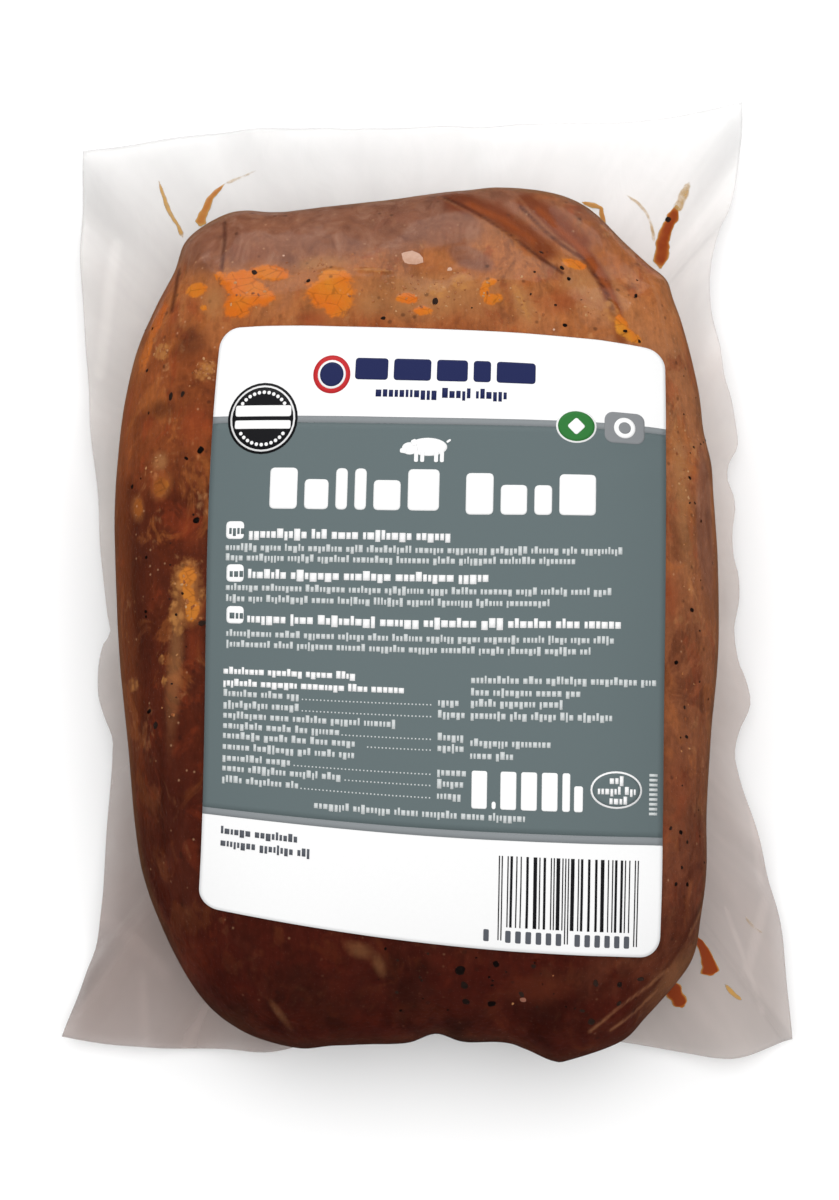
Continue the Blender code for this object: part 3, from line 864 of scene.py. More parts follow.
edge = film_edge(FILM_COUNTS)
edge_steps = np.hypot(*(np.roll(edge, -1, axis=0) - edge).T)
travelled = np.concatenate([[0.0], np.cumsum(edge_steps)[:-1]])
film_ways = edge / np.hypot(*edge.T)[:, None]
film_reach = body_reach(*edge.T)
root_height = flange_height(edge, 0.0, travelled)
root_share = side_reach(root_height)
root = film_reach * root_share
span = np.hypot(*edge.T) - root


def margin_ring(out, drop):
    """One ring of the margin: buckled by pleats that fade towards both its ends."""
    plan = film_ways * (root + span * out)[:, None]
    height = flange_height(edge, out, travelled)
    swell = math.sin(math.pi * min(1.0, out * 1.15)) if out < 0.87 else 0.0
    pleats = np.array([
        noise.noise(Vector((spot * 80.0, out * 1.2, 3.0))) * WIDE_PLEATS
        + noise.noise(Vector((spot * 230.0, out * 1.6, 9.0))) * FINE_PLEATS for spot in travelled])
    return np.column_stack([plan, np.maximum(height + pleats * swell, MARGIN_LOWEST) - drop])


film_top_shares = np.unique(np.round(np.concatenate([
    np.linspace(0.02, 0.82, 34),
    (1.0 - np.linspace(0.80, 0.0, 30) ** TOP_RISE_POWER) ** (1.0 / TOP_PLAN_POWER)]), 5))
side_steps = np.linspace(0.05, 1.0, 10)
margin_steps = np.linspace(0.04, 1.0, 30)
base_steps = (0.985, 0.96, 0.92, 0.86, 0.78, 0.66, 0.5, 0.3, 0.1)

film_rings = [dome_ring(film_ways, film_reach, share) for share in film_top_shares]
film_rings += [side_ring(film_ways, film_reach,
                         WIDEST_HEIGHT + (root_height - WIDEST_HEIGHT) * step, 1 - step)
               for step in side_steps]
film_rings += [margin_ring(step, 0.0) for step in margin_steps]
film_rings += [margin_ring(step, WELD_THICKNESS) for step in margin_steps[::-1]]
film_rings += [np.column_stack([film_ways * (film_reach * root_share * step)[:, None],
                                base_height(root_share * step)]) for step in base_steps]
film_rings = np.array(film_rings)
ring_margin = np.concatenate([
    np.zeros(len(film_top_shares)), np.zeros(len(side_steps)), margin_steps, margin_steps[::-1],
    np.zeros(len(base_steps))])
ring_out = np.concatenate([
    film_top_shares, 1.0 + 0.3 * side_steps, np.full(2 * len(margin_steps) + len(base_steps), 1.5)])
# Painted highlights: pale streaks on the margin where it catches the light.
PAINTED_GLEAMS = [
    ([(-93, -101), (-84, -107), (-75, -116)], 3.4), ([(-81.5, -116), (-81, -138)], 2.2),
    ([(-63, -125), (-70, -138)], 2.4), ([(98, -96), (92, -116)], 2.6), ([(86, -98), (97, -128)], 1.2),
    ([(-97, 60), (-93, 100)], 3.0), ([(93, -60), (97, -90)], 2.0),
]
film_values = {
    "margin": np.broadcast_to(ring_margin[:, None], film_rings.shape[:2]),
    "out": np.broadcast_to(ring_out[:, None], film_rings.shape[:2]),
    "gleam": stroke_field(film_rings[..., 0], film_rings[..., 1], PAINTED_GLEAMS),
    "travelled": np.broadcast_to(travelled[None, :], film_rings.shape[:2]),
}
film = wrap_globe("film", film_rings, (0, 0, top_height(0.0, 0.0)), (0, 0, 0), film_values)

# %% The film's material, with painted shade, light and sheen
CLEAR_ALPHA = 0.001
WELD_ALPHA = 0.50
FILM_ROUGHNESS = 0.22

film_finish, film_shader, place = new_finish("clear_vacuum_film", {})
along_pack = (place.part(1) + 0.14) * 3.5
# Painted shade and light: the margin is grey at the foot and white, brighter than paper, at the head.
film_left_painted_shade = along_pack.tones([
    (0.00, 178, 160, 153), (0.12, 162, 143, 136), (0.50, 212, 203, 197), (0.80, 234, 229, 226),
    (1.00, 255, 255, 255, 1.14)])
film_right_painted_shade = along_pack.tones([
    (0.00, 202, 190, 184), (0.15, 200, 186, 180), (0.50, 226, 213, 206), (0.80, 250, 244, 241),
    (1.00, 255, 255, 255, 1.06)])
film_colour = film_left_painted_shade.towards(film_right_painted_shade, place.part(0).rise(-0.04, 0.06))
margin = attribute(place, "margin")
along_edge = attribute(place, "travelled")
# Bands along the margin: painted light and shade of its buckles, and more or less milky film in the same
# bands.
milk_and_painted_light_bands = place.node("ShaderNodeCombineXYZ", {}, {0: along_edge * 60.0, 1: margin * 0.9, 2: 0.0})
milk_and_painted_light_bands = milk_and_painted_light_bands.noise(1.0, 2.0, 0.5, 0.3)
wisps = place.stretched((1.0, 0.5, 1.0)).noise(60.0, 3.0, 0.55, 1.2)
# Painted highlights: the streaks lighten the margin's colour.
gleam = attribute(place, "gleam").rise(0.0, 0.9)
film_colour = film_colour.times(0.95 + milk_and_painted_light_bands * 0.08 + wisps * 0.06 + gleam * 0.12)
on_margin = margin.rise(0.0, 0.10)
out = attribute(place, "out")
on_top, rim_line = rim_masks(place)
# Painted sheen: over the meat the film is a pale mauve where it shows, with a golden line where the side
# turns out of sight.
rim = rim_line * (1 - on_margin)
film_colour = film_colour.layered([((190, 160, 150), 1 - on_margin), ((168, 130, 74), rim)])
# Painted sheen: a faint haze of that colour over the top shoulder.
painted_sheen_haze = place.part(1).rise(0.078, 0.092) * 0.025 * wisps
over_meat = CLEAR_ALPHA + painted_sheen_haze + rim * 0.06
feed(film_shader, "Base Color", film_colour)
feed(film_shader, "Alpha", over_meat + on_margin * (WELD_ALPHA + (milk_and_painted_light_bands - 0.5) * 0.20))
feed(film_shader, "Roughness", FILM_ROUGHNESS + out.rise(0.95, 0.99) * on_top * 0.6)
feed(film_shader, "Normal", bump(place, wisps, 0.0008, 0.5))
film.data.materials.append(film_finish)

# %% [markdown]
# ## Pepper, crumbs of fat and a flake
# Cracked pepper is hard and angular, and the fat breaks into crumbs. Each bit is a small ball of
# few faces whose corners are knocked about, pressed flat on the meat just under the film. The
# large ones lie where they were seen, the rest are scattered, and a seeded random number
# generator gives the same bits each run. A number stored on each bit picks its tone.


# %% One bit pressed flat on the skin
BIT_BUMP = 0.0002
LEAST_FACING_UP = 0.2
PEPPER_THICKNESS = 0.20
CRUMB_THICKNESS = 0.14
FLAKE_THICKNESS = 0.16


def add_bit(bits, spot, normal, half_x, half_y, turn, thickness, tint):
    """A ragged bit with its sizes in millimetres, turned about the skin's normal in degrees."""
    side = (Vector((1.0, 0.0, 0.0)) - normal * normal.x).normalized()
    turned = Matrix((side, normal.cross(side), normal)).transposed().to_4x4()
    spin = Matrix.Rotation(math.radians(turn), 4, "Z")
    flat = Matrix.Diagonal((half_x * MM, half_y * MM, thickness * MM, 1.0))
    verts = bmesh.ops.create_icosphere(
        bits, subdivisions=2, radius=1.0,
        matrix=Matrix.Translation(spot) @ turned @ spin @ flat)["verts"]
    tints = bits.verts.layers.float["tint"]
    for vert in verts:
        reach = (vert.co - spot) / (half_x * MM)
        vert.co += (vert.co - spot) * noise.noise(reach * 1.1 + spot * 900.0) * 0.40
        vert[tints] = tint


def finish_bits(name, bits, plain, stops):
    """Make the bits one piece, with a tone for each from its tint."""
    piece = place_mesh(name, bits)
    material, shader, place = new_finish(name + "_finish", plain)
    mottle = place.noise(900.0, 3.0)
    feed(shader, "Base Color", (attribute(place, "tint") + (mottle - 0.5) * 0.5).tones(stops))
    feed(shader, "Normal", bump(place, mottle, BIT_BUMP))
    piece.data.materials.append(material)
    print(name, "triangles:", len(piece.data.polygons))
    return piece


def new_bits():
    """An empty mesh whose bits carry a tint."""
    bits = bmesh.new()
    bits.verts.layers.float.new("tint")
    return bits


def scatter_bit(bits, x, y, size, slimmest, thickness):
    """Lay a bit of random length, turn and tint on the meat, where it faces up."""
    spot, normal = on_film(meat_tree, x, y)
    if spot is not None and normal.z > LEAST_FACING_UP:
        add_bit(bits, spot, normal, size, size * random.uniform(slimmest, 0.95),
                random.uniform(0, 180), thickness, random.random())


# %% Scatter the pepper
random.seed(11)
meat_tree = skin_tree(meat)
film_tree = skin_tree(film)
PEPPER_IN_JUICE = (72.8, 106.4, 1.5)
pepper_bits = new_bits()
dust = []
for centre_x, centre_y, reach_x, reach_y, count in (
        (20, -118, 34, 9, 26), (-72, 10, 9, 60, 18), (74, -20, 5, 70, 22), (30, 74, 36, 9, 6)):
    for _ in range(count):
        dust.append((centre_x + random.uniform(-reach_x, reach_x),
                     centre_y + random.uniform(-reach_y, reach_y), random.uniform(0.22, 0.5)))
for x, y, size in PEPPER + dust:
    scatter_bit(pepper_bits, x, y, size, 0.55, PEPPER_THICKNESS)
x, y, size = PEPPER_IN_JUICE
spot, normal = on_film(film_tree, x, y)
add_bit(pepper_bits, spot, normal, size, size * 0.8, 20.0, 0.25, 0.6)
pepper = finish_bits("pepper", pepper_bits, {"Roughness": 0.8, "Specular IOR Level": 0.15},
                     [(0.2, 15, 9, 7), (0.9, 48, 33, 26)])

# %% Crumbs of fat in their beds, and the pale flake
# Each bed is x, y, half length along x, half length along y and how many crumbs lie in it.
CRUMB_BEDS = [
    (-65.5, -10, 2.8, 4, 8), (-64.5, -18, 3.0, 4.4, 14), (-61.3, 48.5, 4.0, 3.4, 30),
    (-74, 56, 2.8, 2.8, 10), (9.5, 73, 3.4, 3.0, 12), (-74.5, 24, 3.4, 3.0, 9),
    (0, 69, 22, 8, 80), (-31, 79, 9, 3.5, 16), (26, 68, 3, 7, 12), (71, 15, 3, 30, 30),
    (71, -45, 3, 26, 12), (-69, -36, 3, 20, 6), (28, -119, 9, 5, 2),
    (46, 68, 11, 9, 12), (17, 70, 3, 4, 6), (-50, 70, 8, 6, 10),
]
FLAKE_TURN = -12.0
crumb_bits = new_bits()
for centre_x, centre_y, reach_x, reach_y, count in CRUMB_BEDS:
    for _ in range(count):
        x = centre_x + random.gauss(0, 0.5) * reach_x
        y = centre_y + random.gauss(0, 0.5) * reach_y
        scatter_bit(crumb_bits, x, y, random.uniform(0.20, 0.55), 0.5, CRUMB_THICKNESS)
crumbs = finish_bits("fat_crumbs", crumb_bits, {"Roughness": 0.45, "Coat Weight": 0.4}, [
    (0.1, 140, 76, 36), (0.5, 170, 104, 52), (0.85, 180, 124, 74), (1.0, 192, 144, 98)])
flake_bits = new_bits()
for x, y, half_x, half_y, turn, tint in (
        (-4.6, 81.0, 3.7, 2.4, FLAKE_TURN, 0.8), (6.3, 77.2, 0.8, 0.6, 0.0, 0.9),
        (26, -123, 1.0, 0.7, 20.0, 0.1), (35, 59.3, 0.4, 0.35, 0.0, 1.0), (-40, 82.5, 0.35, 0.3, 0.0, 1.0)):
    spot, normal = on_film(meat_tree, x, y)
    add_bit(flake_bits, spot, normal, half_x, half_y, turn, FLAKE_THICKNESS, tint)
flakes = finish_bits("pale_flakes", flake_bits, {"Roughness": 0.4, "Coat Weight": 0.5}, [
    (0.1, 150, 96, 76), (0.5, 186, 138, 112), (1.0, 206, 164, 140)])

# %% [markdown]
# ## Juice between the films
# Marinade has crept between the welded films in thin runs. Each run is a flat grid bent along a
# smooth curve and laid on the margin. Its width wavers with noise, and a stored depth that is
# greatest along the middle makes the colour deeper there and lets the sides fade out.


# %% Lay the runs of juice
# Each run is its points, its half widths along the way, all in millimetres, and its depth.
JUICE_RUNS = [
    ([(-80.5, 119.5), (-77.5, 110.5), (-74.5, 105), (-72.5, 100.5)], (0.5, 0.8, 0.6, 0.9), 0.22),
    ([(-60.5, 118), (-64.5, 113), (-66.5, 108), (-67.5, 104)], (0.5, 0.9, 1.5, 1.8), 0.50),
    ([(-60.5, 118), (-56, 120), (-51, 122)], (0.5, 0.6, 0.3), 0.08),
    ([(46.5, 111.5), (50, 110.5), (53, 109.5)], (0.4, 0.9, 0.5), 0.40),
    ([(52, 110.5), (52.6, 107.5), (53, 104.5)], (0.5, 0.8, 0.8), 0.45),
    ([(59.5, 114.5), (64, 111), (67, 105), (68, 98.5)], (0.4, 0.6, 0.5, 0.7), 0.10),
    ([(79, 118.5), (77.5, 115), (76, 111.5), (75, 109)], (0.9, 1.5, 1.5, 1.4), 0.14),
    ([(75.2, 111), (73, 105.5), (71, 100.5), (70, 96), (69.6, 91)], (1.6, 1.8, 2.0, 2.3, 1.8), 0.95),
    ([(77.5, -106), (79.5, -110.5), (81, -114), (81.6, -117)], (0.9, 1.7, 2.5, 2.8), 1.35),
    ([(68.4, -118.6), (71, -121.5), (73.4, -126)], (2.2, 2.6, 1.8), 1.15),
    ([(85.5, -119.5), (88.3, -122.5), (90.5, -124)], (0.7, 0.8, 0.4), 0.25),
    ([(91.5, -100), (94, -103), (97, -105)], (0.3, 0.5, 0.3), 0.06),
]
JUICE_START_HEIGHT = 0.022
JUICE_LIFT = 0.00006
JUICE_CROWN = 0.00018
JUICE_THICKNESS = 0.00005


def add_run(sheet, points, half_widths, depth):
    """Bend a flat grid along a curve of millimetre points and lay it on the margin."""
    way = smooth_curve(points, closed=False, steps=10)
    count = len(way) - 1
    depths = sheet.verts.layers.float["depth"]
    for vert in bmesh.ops.create_grid(sheet, x_segments=count, y_segments=8, size=1.0)["verts"]:
        step, side = round((vert.co.x + 1) / 2 * count), vert.co.y
        ahead = way[min(step + 1, count)] - way[max(step - 1, 0)]
        across = np.array([-ahead[1], ahead[0]]) / np.hypot(*ahead)
        half = np.interp(step / count, np.linspace(0, 1, len(half_widths)), half_widths)
        waver = 1 + 0.45 * noise.noise(Vector((way[step][0] * 500, way[step][1] * 500, side * 0.6)))
        ends = ease(min(step, count - step) / (0.12 * count))
        x, y = (way[step] + across * half * waver * side * (0.25 + 0.75 * ends) * MM) / MM
        spot, normal = on_film(film_tree, x, y, JUICE_START_HEIGHT)
        vert.co = spot + normal * (JUICE_LIFT + JUICE_CROWN * (1 - side * side) * ends)
        vert[depths] = depth * (1 - side ** 4) * (0.4 + 0.6 * ends)


juice_sheet = bmesh.new()
juice_sheet.verts.layers.float.new("depth")
for points, half_widths, depth in JUICE_RUNS:
    add_run(juice_sheet, points, half_widths, depth)
juice = place_mesh("juice_runs", juice_sheet)
juice.data.shade_smooth()
thicken(juice, JUICE_THICKNESS)
juice_finish, juice_shader, place = new_finish("marinade_juice", {"Roughness": 0.25})
juice_depth = attribute(place, "depth") + (place.noise(420.0, 3.0) - 0.5) * 0.25
feed(juice_shader, "Base Color", juice_depth.tones([
    (0.0, 226, 196, 140), (0.25, 206, 158, 88), (0.6, 182, 100, 38), (0.95, 150, 62, 22)]))
feed(juice_shader, "Alpha", juice_depth.rise(0.0, 0.30) * 0.9)
juice.data.materials.append(juice_finish)
print("juice runs:", len(JUICE_RUNS), "faces:", len(juice.data.polygons))

# %% [markdown]
# ## The label
# The label is a coated paper sheet with rounded corners. Paper bends but doesn't stretch much, so
# it bows over the dome and its rows curve. A flat grid is made first, its corners are rounded, and
# every point is then laid on the pack along four measured rows.


# %% Lay flat points of the label on the pack
PAPER_LIFT = 0.00055


def shares_between(places, place):
    """How much each of a few measured places counts at the places between them."""
    return [math.prod((place - other) / (mine - other) for other in places if other != mine)
            for mine in places]


def label_surface(across, along):
    """Where points of the flat label, measured from its middle, lie on the pack."""
    rows = np.array(shares_between(LABEL_ROW_SHARES, 0.5 - along / LABEL_LENGTH))
    ends = np.array(shares_between((0.0, 0.5, 1.0), 0.5 + across / LABEL_WIDTH))
    x, y = np.einsum("ip,jp,ijk->kp", rows, ends, np.array(LABEL_ROWS) * MM)
    return np.column_stack([x, y, top_height(x, y)])


def drape(mesh):
    """Lay a flat mesh on the pack. Its own height becomes its height over the paper."""
    across, along, lift = vertex_table(mesh, "co").T
    step = 0.0003
    slope_across = label_surface(across + step, along) - label_surface(across - step, along)
    slope_along = label_surface(across, along + step) - label_surface(across, along - step)
    upward = np.cross(slope_across, slope_along)
    upward /= np.linalg.norm(upward, axis=1)[:, None]
    laid = label_surface(across, along) + upward * (PAPER_LIFT + lift)[:, None]
    mesh.vertices.foreach_set("co", (laid - (PACK_MIDDLE[0], PACK_MIDDLE[1], 0.0)).ravel())
    mesh.update()
    mesh.shade_smooth()


# %% Flat panels with rounded corners
def panel_lines(length, corner, cell):
    """Places of a panel's grid lines from its middle, closer together in its corners."""
    half = length / 2
    if corner <= 0:
        return np.linspace(-half, half, max(1, math.ceil(length / cell)) + 1)
    turns = 2 if corner < 1.5 * MM else 5
    bend = half - corner + corner * np.linspace(0, 1, turns + 1)[1:]
    middle = 2 * (half - corner)
    inner = np.linspace(-half + corner, half - corner, max(1, math.ceil(middle / cell)) + 1)
    inner = inner if middle > 0.02 * MM else np.array([0.0])
    return np.concatenate([-bend[::-1], inner, bend])


def add_panel(sheet, left, top, width, height, corner=0.0, level=1, turn=0.0, cell=1.8):
    """Add a flat rounded panel, in millimetres from the label's top left corner."""
    half_x, half_y, corner = width / 2 * MM, height / 2 * MM, corner * MM
    lines_x = panel_lines(width * MM, corner, cell * MM)
    lines_y = panel_lines(height * MM, corner, cell * MM)
    columns, rows = len(lines_x) - 1, len(lines_y) - 1
    middle = Vector(((left + width / 2) * MM - LABEL_WIDTH / 2,
                     LABEL_LENGTH / 2 - (top + height / 2) * MM, level * INK_STEP))
    made = bmesh.ops.create_grid(sheet, x_segments=columns, y_segments=rows, size=1.0)
    for vert in made["verts"]:
        x = lines_x[round((vert.co.x + 1) / 2 * columns)]
        y = lines_y[round((vert.co.y + 1) / 2 * rows)]
        if corner > 0:
            in_x, in_y = (abs(x) - half_x) / corner + 1, (abs(y) - half_y) / corner + 1
            if in_x > 1e-6 and in_y > 1e-6:
                pull = max(in_x, in_y) / math.hypot(in_x, in_y)
                x = math.copysign(half_x - corner + in_x * pull * corner, x)
                y = math.copysign(half_y - corner + in_y * pull * corner, y)
        vert.co = middle + Matrix.Rotation(math.radians(turn), 3, "Z") @ Vector((x, y, 0.0))


def add_oval(sheet, centre_x, centre_y, reach_x, reach_y, level=1):
    """Add a flat disc or oval: a panel that is all corner, pressed to its height."""
    before = set(sheet.verts)
    add_panel(sheet, centre_x - reach_x, centre_y - reach_x, 2 * reach_x, 2 * reach_x,
              reach_x, level)
    middle_y = LABEL_LENGTH / 2 - centre_y * MM
    for vert in set(sheet.verts) - before:
        vert.co.y = middle_y + (vert.co.y - middle_y) * reach_y / reach_x


def finish_sheet(name, sheet, thickness):
    """Drape a flat sheet of panels and give it a thickness downwards."""
    piece = place_mesh(name, sheet)
    drape(piece.data)
    thicken(piece, thickness)
    print(name, "faces:", len(piece.data.polygons))
    return piece


INK_STEP = 0.00004
PAPER_THICKNESS = 0.0003

paper_sheet = bmesh.new()
add_panel(paper_sheet, 0, 0, LABEL_WIDTH / MM, LABEL_LENGTH / MM, LABEL_CORNER / MM, 0, cell=1.6)
paper = finish_sheet("label_paper", paper_sheet, PAPER_THICKNESS)

# %% [markdown]
# ## The print
# Printed words become rows of plain marks with the rhythm of words, so the label keeps its look
# and says nothing. Each ink is its own thin layer on the paper, a twenty-fifth of a millimetre
# over the one below it, which keeps the edges crisp from close up.


# %% Marks that stand for words
def add_marks(sheet, start, end, line, size, level=2, heavy=False):
    """A line of small upright marks grouped like words, on a baseline in millimetres."""
    x = start
    while x < end - size:
        word_end = min(end, x + size * random.uniform(1.6, 6.4))
        while x < word_end:
            width = size * random.uniform(0.26, 0.62) * (1.25 if heavy else 1.0)
            tall = size * random.choice((0.74, 0.74, 0.74, 0.78, 1.06))
            drop = size * random.choice((0, 0, 0, 0, 0.26))
            add_panel(sheet, x, line - tall, width, tall + drop, 0.0, level)
            x += width + size * (0.13 if heavy else 0.17)
        x += size * 0.42


def add_blocks(sheet, blocks, top, bottom, corner, level=2):
    """Large rounded blocks side by side: left, right and how far each starts below the top."""
    for left, right, lower in blocks:
        add_panel(sheet, left, top + lower, right - left, bottom - top - lower, corner, level)


# %% The broad fields of the label
random.seed(23)
inks = {name: bmesh.new() for name in (
    "ink_band", "ink_stripe", "ink_white", "ink_small", "ink_dark", "ink_badge", "ink_red",
    "ink_green", "ink_grey", "ink_faint")}
band, stripe, white, small, dark, badge, red, green, grey, faint = inks.values()
add_panel(stripe, 0.02, 24.5, 125.96, 1.9, level=1)
add_panel(band, 0.02, 26.3, 125.96, 112.2, level=1)
add_panel(stripe, 0.02, 138.5, 125.96, 2.1, level=1)

# %% The head of the label
for ink, reach, level in ((red, 5.2, 1), (white, 3.9, 2), (dark, 3.3, 3)):
    add_oval(ink, 32.7, 13.2, reach, reach, level)
add_blocks(dark, [(39.2, 48.4, 0), (50.0, 60.4, 0), (62.0, 70.6, 0), (72.2, 77.0, 0),
                  (78.6, 89.4, 0)], 8.5, 14.4, 0.9, 1)
add_marks(dark, 45.2, 81.4, 19.0, 2.6, 1)
for ink, reach, level in ((badge, 9.8, 2), (white, 9.1, 3), (badge, 8.6, 4)):
    add_oval(ink, 14.1, 25.3, reach, reach, level)
add_panel(white, 6.4, 21.7, 15.6, 3.0, 0.6, 5)
add_panel(white, 6.4, 25.8, 15.6, 2.3, 0.5, 5)
for side in (-1, 1):
    for turn in range(-55, 56, 11):
        dot_x = 14.1 + 7.2 * math.sin(math.radians(turn))
        dot_y = 25.3 + side * 7.2 * math.cos(math.radians(turn))
        add_oval(white, dot_x, dot_y, 0.5, 0.5, 5)
add_oval(white, 100.8, 25.9, 5.6, 4.8, 2)
add_oval(green, 100.8, 25.9, 5.1, 4.3, 3)
add_panel(white, 99.0, 24.1, 3.6, 3.6, 0.6, 4, turn=45)
add_panel(grey, 108.6, 21.1, 11.2, 9.0, 2.4, 2)
add_oval(white, 114.2, 25.6, 3.0, 3.0, 3)
add_oval(grey, 114.2, 25.6, 1.7, 1.7, 4)

# %% A plain pig and the title's blocks
add_oval(white, 60.2, 32.6, 5.3, 2.5, 2)
add_oval(white, 55.2, 33.1, 2.2, 1.7, 3)
add_panel(white, 52.5, 33.1, 1.9, 1.3, 0.5, 4, turn=-8)
add_panel(white, 55.6, 30.6, 1.5, 1.7, 0.4, 4, turn=25)
for leg in (57.0, 58.7, 62.5, 64.1):
    add_panel(white, leg - 0.55, 33.6, 1.1, 3.2, 0.4, 4)
add_panel(white, 65.2, 30.6, 1.3, 0.6, 0.25, 4, turn=35)
add_blocks(white, [(17.0, 24.6, 0), (26.6, 33.2, 3.1), (35.2, 38.4, 0), (40.4, 43.6, 0),
                   (45.6, 53.0, 3.1), (55.0, 63.6, 0)], 38.8, 50.2, 1.2)
add_blocks(white, [(70.9, 78.4, 0), (80.4, 87.6, 3.2), (89.6, 94.4, 3.2), (96.4, 106.4, 0)],
           39.7, 51.2, 1.2)

# %% The three paragraphs
for mark_left, mark_top, width in ((5.2, 53.8, 5.0), (5.6, 66.0, 4.8), (5.8, 78.0, 4.8)):
    add_panel(white, mark_left, mark_top, width, 5.0, 1.1, 2)
    add_marks(band, mark_left + 0.9, mark_left + width - 0.2, mark_top + 3.6, 2.2, 3)
for end, line in ((69.5, 58.4), (75.9, 69.9), (112.7, 82.6)):
    add_marks(white, 11.6, end, line, 2.5, heavy=True)
for start, end, line in ((5.2, 115.8, 62.0), (5.3, 103.4, 64.9), (5.5, 111.2, 73.4),
                         (5.6, 94.0, 76.6), (5.8, 110.8, 86.7), (5.9, 105.0, 89.8)):
    add_marks(small, start, end, line, 1.9)

# %% The table, the column beside it and the weight
for end, line in ((41.2, 97.8), (56.5, 101.3)):
    add_marks(white, 5.2, end, line, 2.0, heavy=True)
rows = ((104.4, 26, True), (107.7, 26, True), (110.9, 52, False), (114.0, 37, True),
        (117.0, 44, True), (120.3, 41, False), (123.7, 24, True), (126.8, 38, True),
        (130.2, 26, True))
for line, words_end, has_value in rows:
    add_marks(small, 5.3, words_end, line, 2.0)
    if has_value:
        for dot in np.arange(words_end + 1.0, 63.0, 1.0):
            add_panel(small, float(dot), line - 0.35, 0.4, 0.4, 0.0, 2)
        add_marks(small, 64.2, 71.3, line, 2.0)
for start, end, line in ((73.1, 123.8, 98.0), (73.1, 102.2, 101.4), (73.1, 99.5, 104.4),
                         (73.1, 114.4, 107.8), (73.1, 96.9, 115.3), (73.1, 87.7, 118.8)):
    add_marks(small, start, end, line, 2.0)
add_blocks(white, [(73.6, 77.8, 0), (79.1, 80.2, 8.2), (81.4, 85.7, 0), (87.0, 91.3, 0),
                   (92.6, 96.9, 0), (98.2, 100.3, 0), (101.4, 103.8, 3.4)], 122.0, 132.3, 0.6)
add_oval(white, 112.9, 126.2, 7.1, 5.0, 2)
add_oval(band, 112.9, 126.2, 6.6, 4.5, 3)
for start, end, line in ((111.0, 115.0, 124.6), (107.8, 118.2, 127.4), (111.0, 115.0, 130.0)):
    add_marks(white, start, end, line, 2.0, 4)
for step in range(9):
    add_panel(small, 122.0, 121.7 + step * 1.28, 2.3, 0.72, 0.0, 2)
add_marks(small, 30.8, 90.4, 135.4, 2.0)

# %% The white foot: two small lines and a bar code
for end, line in ((27.4, 146.0), (29.4, 149.8)):
    add_marks(faint, 5.4, end, line, 2.2)
BAR_MODULE = 38.2 / 95
modules = [1, 1, 1] + [random.choice((1, 1, 2, 2, 3)) for _ in range(24)] + [1, 1, 1, 1, 1]
modules += [random.choice((1, 1, 2, 2, 3)) for _ in range(24)] + [1, 1, 1]
stretch = 95 / sum(modules)
place_x = 81.3
for index, width in enumerate(modules):
    width *= BAR_MODULE * stretch
    if index % 2 == 0:
        is_guard = index < 3 or 27 <= index < 32 or index >= len(modules) - 3
        add_panel(badge, place_x, 144.7, width * 0.86, 22.6 if is_guard else 19.0, level=1)
    place_x += width
for index in range(13):
    digit_left = 77.4 if index == 0 else 83.4 + (index - 1) * 2.72 + (2.4 if index > 6 else 0)
    add_panel(faint, digit_left, 164.6, 1.5, 3.2, 0.35, 1)

# %% Drape the inks and give them their colours
INK_COLOURS = {
    "ink_band": (101, 115, 117), "ink_stripe": (141, 146, 149), "ink_white": (255, 255, 255),
    "ink_small": (214, 219, 219), "ink_dark": (28, 38, 92), "ink_badge": (28, 28, 32),
    "ink_red": (204, 32, 38), "ink_green": (46, 128, 56), "ink_grey": (140, 143, 146),
    "ink_faint": (92, 96, 104),
}
LABEL_LIGHT = 1.25
INK_THICKNESS = 0.00003


def paper_finish(name, colour, roughness):
    """Coated paper or ink on it: an even colour with the faintest mottle, and a soft sheen."""
    material, shader, place = new_finish(name, {"Roughness": roughness})
    mottle = place.noise(900.0, 3.0, 0.6)
    even = mottle.tones([(0.0, *colour, LABEL_LIGHT), (1.0, *colour, LABEL_LIGHT)])
    feed(shader, "Base Color", even.times(0.985 + mottle * 0.03))
    feed(shader, "Roughness", roughness - 0.04 + mottle * 0.08)
    feed(shader, "Normal", bump(place, mottle, 0.00003, 0.4))
    return material


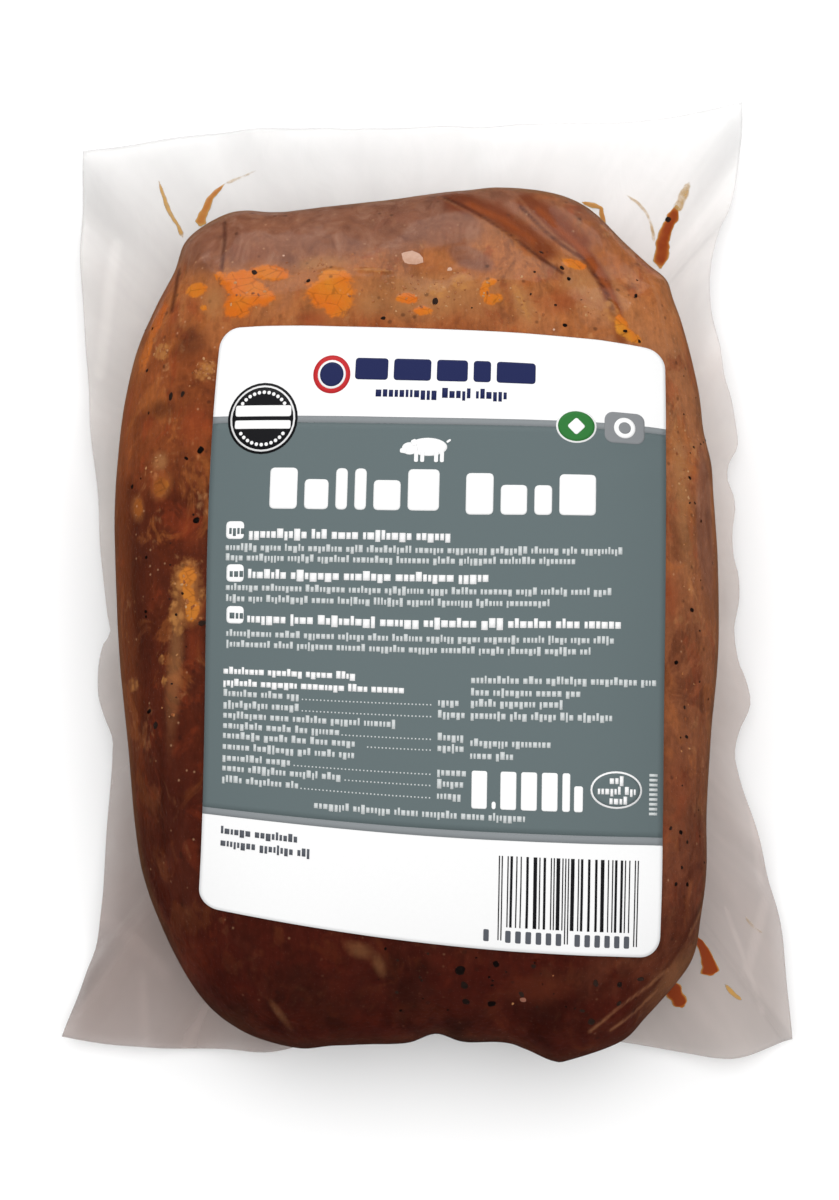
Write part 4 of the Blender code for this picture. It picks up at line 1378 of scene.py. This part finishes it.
paper.data.materials.append(paper_finish("coated_paper", (255, 255, 255), 0.62))
print_pieces = []
for name, sheet in inks.items():
    layer = finish_sheet(name, sheet, INK_THICKNESS)
    layer.data.materials.append(paper_finish(name, INK_COLOURS[name], 0.55))
    print_pieces.append(layer)

# %% [markdown]
# ## Ride and hide
# Every piece rides on the pack's one body, and the film and the meat stand for the solid pouch,
# so the imported pouch and label are hidden.

# %% Ride on the body, hide the imported solids
for piece in (meat, film, pepper, crumbs, flakes, juice, paper, *print_pieces):
    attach(piece, "root")
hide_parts("pouch")
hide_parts("pouch")
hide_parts("label")

# %% Floor and light
FLOOR_HALF_SIZE = 3.0
FLOOR_DROP = 0.0002
WORLD_LIGHT = 0.6

floor_cell = bmesh.new()
bmesh.ops.create_grid(floor_cell, x_segments=1, y_segments=1, size=FLOOR_HALF_SIZE)
bmesh.ops.translate(floor_cell, verts=floor_cell.verts, vec=(0.0, 0.0, -FLOOR_DROP))
floor = place_mesh("floor", floor_cell)
floor.data.materials.append(new_finish("white_floor", {
    "Base Color": (0.9, 0.9, 0.9, 1.0), "Roughness": 0.9, "Specular IOR Level": 0.0})[0])
floor.visible_glossy = False


def softbox(name, place, target, size, power, mirrored):
    """A square lamp that looks at the pack; mirrored says whether gloss shows it."""
    lamp = bpy.data.objects.new(name, bpy.data.lights.new(name, "AREA"))
    lamp.data.shape = "RECTANGLE"
    lamp.data.size, lamp.data.size_y = size
    lamp.data.energy = power
    lamp.location = place
    lamp.rotation_euler = (Vector(target) - Vector(place)).to_track_quat("-Z", "Y").to_euler()
    lamp.visible_glossy = mirrored
    bpy.context.scene.collection.objects.link(lamp)


softbox("key", (0.0, 1.00, 0.40), (0.0, 0.04, 0.04), (1.4, 0.50), 3.0, True)
softbox("overhead", (0.0, 0.10, 1.7), (0.0, 0.0, 0.0), (2.0, 2.0), 27.0, False)

world = bpy.data.worlds.new("studio")
bpy.context.scene.world = world
world.use_nodes = True
background = world.node_tree.nodes["Background"]
background.inputs["Color"].default_value = (1.0, 1.0, 1.0, 1.0)
background.inputs["Strength"].default_value = WORLD_LIGHT
world.cycles_visibility.glossy = False
bpy.context.scene.view_settings.view_transform = "Standard"
